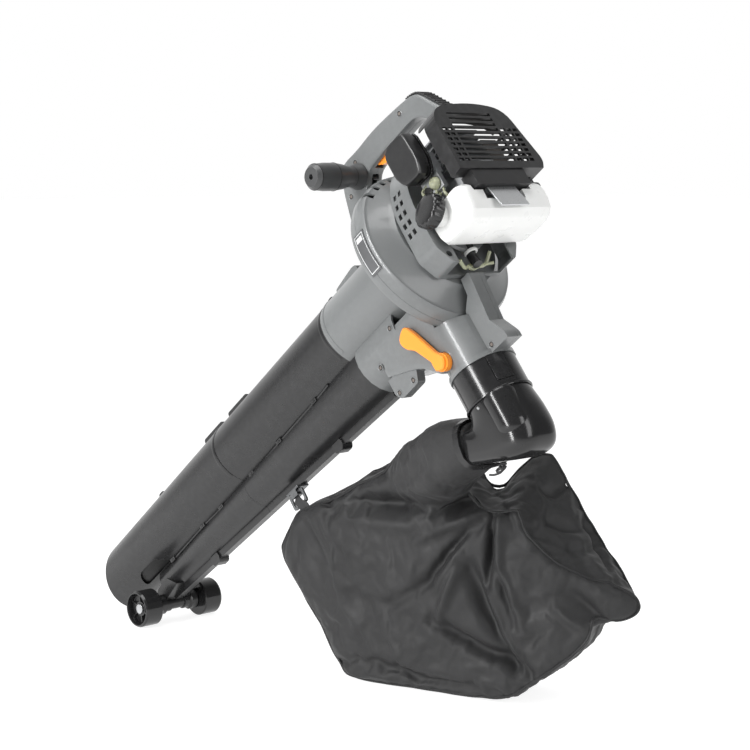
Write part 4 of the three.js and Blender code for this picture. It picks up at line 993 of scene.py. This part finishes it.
def distance_to_line(point, line):
    """Distance from a flat point to a run of straight stretches, and how far along it is, 0 to 1."""
    best, where = 1e9, 0.0
    for i, (p, q) in enumerate(zip(line, line[1:])):
        d = (q[0] - p[0], q[1] - p[1])
        length = d[0] ** 2 + d[1] ** 2
        t = max(0.0, min(1.0, ((point[0] - p[0]) * d[0] + (point[1] - p[1]) * d[1]) / length))
        gap = math.hypot(point[0] - p[0] - d[0] * t, point[1] - p[1] - d[1] * t)
        if gap < best:
            best, where = gap, (i + t) / (len(line) - 1)
    return best, where


def crease_depth(point, creases):
    """How deep the creases make the cloth at a flat point."""
    depth = 0.0
    for line, width, amount in creases:
        gap, along = distance_to_line(point, line)
        if gap < 3 * width:
            ends = math.sin(math.pi * min(1.0, max(0.0, 0.12 + 0.76 * along))) ** 0.6
            depth += amount * ends * math.exp(-((gap / width) ** 2))
    return depth


def mouth_fade(co):
    """0 at the elbow's mouth, where a band holds the cloth, to 1 further away."""
    mouth = ORIGIN + Vector((-100, 0, -260)) * MM
    return min(1.0, max(0.0, ((co - mouth).length / MM - 58) / 40))


def sculpt_bag(mesh):
    """Presses the creases, gathers and fine crumples into the cloth."""
    inverse = BAG.inverted()
    across = (BAG.to_3x3() @ Vector((0, 1, 0))).normalized()
    end_out = (BAG.to_3x3() @ Vector((-0.7, 0, 0.7))).normalized()
    normals = [v.normal.copy() for v in mesh.vertices]
    for vertex, normal in zip(mesh.vertices, normals):
        s, c, h = inverse @ vertex.co
        seen = (s + VIEW_LEAN * c, h + VIEW_DROP * c)
        facing, ending = normal.dot(across), normal.dot(end_out)
        fade = mouth_fade(vertex.co)
        if facing > 0.05:
            vertex.co -= across * crease_depth(seen, CREASES) * MM * min(1, facing * 2.5) * fade
        if ending > 0.1 and s < -110:
            vertex.co -= end_out * crease_depth(seen, END_CREASES) * MM * min(1, ending * 2) * fade
        if facing < -0.05:  # the far panel gets the same gathers, mirrored and softer
            mirrored = (-seen[0] * 0.8 + 20, seen[1] * 0.92)
            vertex.co += across * crease_depth(mirrored, CREASES) * 0.7 * MM * min(1, -facing * 2.5) * fade
        rough = noise.fractal(vertex.co * 14, 0.9, 2.1, 4, noise_basis="PERLIN_ORIGINAL")
        ridged = 1 - abs(noise.noise(Vector((s * 0.018, c * 0.02, h * 0.011)) + Vector((3, 1, 7))))
        low = min(1.0, max(0.0, h / 25))
        vertex.co += normal * (rough * 1.6 + (ridged - 0.8) * 5.0) * MM * fade * (0.3 + 0.7 * low)


def settle_cloth(piece):
    """A short cloth run: the cloth is cut a little too large for its shape, so it buckles."""
    group = piece.vertex_groups.new(name="hold")
    hook = ORIGIN + Vector((257, 20, -398)) * MM
    for vertex in piece.data.vertices:
        held = 1 - mouth_fade(vertex.co)
        near_hook = max(0.0, 1 - (vertex.co - hook).length / 0.05)
        foot = max(0.0, 1 - vertex.co.z / 0.012)
        group.add([vertex.index], min(1.0, max(0.16, held, near_hook, foot)), "REPLACE")
    cloth = piece.modifiers.new("settle", "CLOTH")
    settings = cloth.settings
    settings.quality = 6
    settings.mass = 0.25
    settings.vertex_group_mass = "hold"
    settings.pin_stiffness = 1.2
    settings.shrink_min = -0.055
    settings.tension_stiffness = settings.compression_stiffness = 22
    settings.shear_stiffness = 8
    settings.bending_stiffness = 0.35
    settings.tension_damping = settings.compression_damping = 12
    settings.effector_weights.gravity = 0.35
    cloth.collision_settings.use_collision = False
    rest = [v.co.copy() for v in piece.data.vertices]
    scene = bpy.context.scene
    cloth.point_cache.frame_start, cloth.point_cache.frame_end = 1, CLOTH_FRAMES
    for step in range(1, CLOTH_FRAMES + 1):
        scene.frame_set(step)
    bake_modifiers(piece)
    scene.frame_set(1)
    for vertex, start in zip(piece.data.vertices, rest):
        moved = vertex.co - start
        if moved.length > CLOTH_REACH:
            vertex.co = start + moved * (CLOTH_REACH / moved.length)


def keep_inside(mesh, low, high, margin=0.006):
    """Keeps the cloth on the floor and within a margin of the CAD bag's box."""
    for vertex in mesh.vertices:
        vertex.co.x = min(max(vertex.co.x, low.x - margin), high.x + margin)
        vertex.co.y = min(max(vertex.co.y, low.y - margin), high.y + margin)
        vertex.co.z = min(max(vertex.co.z, 0.0008), high.z + margin)


def make_bag():
    mesh = bpy.data.meshes.new("bag_raw")
    bm = merged([bag_pillow(), bag_neck()])
    bmesh.ops.recalc_face_normals(bm, faces=bm.faces)
    bm.to_mesh(mesh)
    bm.free()
    piece = added("bag_cloth", mesh)
    remesh = piece.modifiers.new("even", "REMESH")
    remesh.mode, remesh.voxel_size = "VOXEL", BAG_VOXEL
    soften = piece.modifiers.new("soften", "SMOOTH")
    soften.factor, soften.iterations = 0.5, 5
    bake_modifiers(piece)
    sculpt_bag(piece.data)
    settle_cloth(piece)
    divide = piece.modifiers.new("fine", "SUBSURF")
    divide.levels = divide.render_levels = 1
    bake_modifiers(piece)
    keep_inside(piece.data, *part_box("bag"))
    piece.data.polygons.foreach_set("use_smooth", [True] * len(piece.data.polygons))
    piece.data.materials.clear()
    piece.data.materials.append(FINISHES["fabric"])
    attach(piece, "machine")
    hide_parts("bag")
    return piece


def on_cloth(tree, points, lift_mm):
    """Points moved onto the cloth's surface, standing proud by lift_mm."""
    moved = []
    for p in points:
        where, normal, _, _ = tree.find_nearest(p)
        moved.append(where + normal * lift_mm * MM)
    return moved


def relaxed(points, rounds):
    """A closed line with its kinks averaged out."""
    for _ in range(rounds):
        count = len(points)
        points = [(points[i - 1] + 2 * points[i] + points[(i + 1) % count]) / 4 for i in range(count)]
    return points


def make_piping(bag_piece):
    """Corded seams round both panels, half sunk in the cloth and clear of the floor."""
    cloth = surface_of(bag_piece.data)
    cords = []
    for seam in BAG_SEAMS:
        line = [BAG @ p for p in rounded_loop(seam, 10)]
        line = relaxed(on_cloth(cloth, line, 0.2), 2)
        cords.append(swept(line, round_section(2.4 * MM, 8), closed=True, up=Vector((0.13, 0.97, 0.2))))
    for cord in cords:
        for vertex in cord.verts:
            vertex.co.z = max(vertex.co.z, 0.0004)
    finished("bag_piping", merged(cords), EXTRA["piping"], AS_IT_IS, weighted=False)


def make_hook_strap():
    """A short webbing loop that ties the bag's front corner to its ring."""
    ring = place(462, 10, -121)
    corner = ORIGIN + Vector((244, 18, -402)) * MM
    low_ring = ring - UP * 0.012
    between = [low_ring.lerp(corner, share) for share in (0.35, 0.75)]
    line = [low_ring + UP * 0.004, *between, corner - UP * 0.012]
    half, thick = 8 * MM, 0.9 * MM
    section = [(-half, -thick), (half, -thick), (half, thick), (-half, thick)]
    strap = swept(line, section, 24, Vector((0.2, 1, 0.1)))
    finished("hook_strap", strap, EXTRA["webbing"], AS_IT_IS, weighted=False)


# ---------------------------------------------------------------- stage
LOOK = (0.733, -0.680)  # the camera's direction on the floor


def make_camera():
    data = bpy.data.cameras.new("camera")
    data.lens, data.sensor_width = 86.5, 36
    data.clip_start, data.clip_end = 0.05, 60
    camera = added("camera", data)
    camera.location = ORIGIN + Vector((-1.788, 1.769, 0.121))
    drop = math.radians(6.75)
    ahead = Vector((LOOK[0] * math.cos(drop), LOOK[1] * math.cos(drop), -math.sin(drop)))
    camera.rotation_mode = "QUATERNION"
    camera.rotation_quaternion = ahead.to_track_quat("-Z", "Y")
    bpy.context.scene.camera = camera


def make_floor():
    """A plain pale floor that glows enough to leave no horizon."""
    bm = bmesh.new()
    bmesh.ops.create_grid(bm, x_segments=8, y_segments=8, size=30)
    mesh = bpy.data.meshes.new("floor")
    bm.to_mesh(mesh)
    bm.free()
    floor = added("floor", mesh)
    floor.location = (0, 0, -0.0005)
    f = Finish("pale_floor", (0.4, 0.4, 0.4), 0.9, emission_strength=0.86, specular_ior_level=0.1)
    f.shader.inputs["Emission Color"].default_value = (1, 1, 1, 1)
    f.tint(f.ranged(f.noise(900, 2), 0, 0.1), (0.38, 0.38, 0.38))
    mesh.materials.append(f.material)


def area_light(name, location, target, size, power, roll=0.0):
    data = bpy.data.lights.new(name, "AREA")
    data.shape, data.size, data.size_y, data.energy = "RECTANGLE", size[0], size[1], power
    lamp = added(name, data)
    lamp.location = location
    lamp.rotation_mode = "QUATERNION"
    lamp.rotation_quaternion = (
        (Vector(target) - Vector(location)).to_track_quat("-Z", "Y") @ Quaternion((0, 0, 1), roll))


def make_lights():
    """A sky that is white behind the machine and dim behind the camera, and three soft lights."""
    world = bpy.data.worlds.new("studio")
    world.use_nodes = True
    tree = world.node_tree
    where = tree.nodes.new("ShaderNodeTexCoord")
    towards = tree.nodes.new("ShaderNodeVectorMath")
    towards.operation = "DOT_PRODUCT"
    towards.inputs[1].default_value = (*LOOK, 0.0)
    tree.links.new(where.outputs["Generated"], towards.inputs[0])
    spread = tree.nodes.new("ShaderNodeMapRange")
    for key, value in (("From Min", 0.2), ("From Max", 0.8), ("To Min", 0.16), ("To Max", 1.0)):
        spread.inputs[key].default_value = value
    tree.links.new(towards.outputs["Value"], spread.inputs["Value"])
    background = tree.nodes["Background"]
    background.inputs["Color"].default_value = (1, 1, 1, 1)
    tree.links.new(spread.outputs["Result"], background.inputs["Strength"])
    bpy.context.scene.world = world
    middle = (cad_box[0] + cad_box[1]) / 2
    area_light("top_light", middle + Vector((0.1, 0.5, 2.0)), middle, (1.5, 1.5), 36)
    # A long strip that lies along the neck's axis, so that it draws one bright line down the elbow.
    neck = place(20, 20, -250)
    area_light("strip_light", neck + Vector((0.40, 2.05, 0.70)), neck, (0.26, 2.6), 60, PITCH)
    area_light("rear_light", middle + Vector((-2.2, -0.2, 0.9)), middle, (0.7, 1.6), 14)
    bpy.context.scene.view_settings.view_transform = "Standard"


# ---------------------------------------------------------------- scene
make_camera()
make_floor()
make_lights()
for node in sorted(frame["nodes"]):
    if node not in REBUILT:
        refine(node)
make_screws()
make_tube_details()
make_beads()
make_mouth_painted_shade()
make_axle_sleeves()
make_plate_border()
make_elbow()
make_mouth_tie()
make_fuel_cap()
make_hoses()
make_pad_ribs()
make_grip_rings()
make_starter_rope()
bag = make_bag()
make_piping(bag)
make_hook_strap()

bpy.context.view_layer.update()
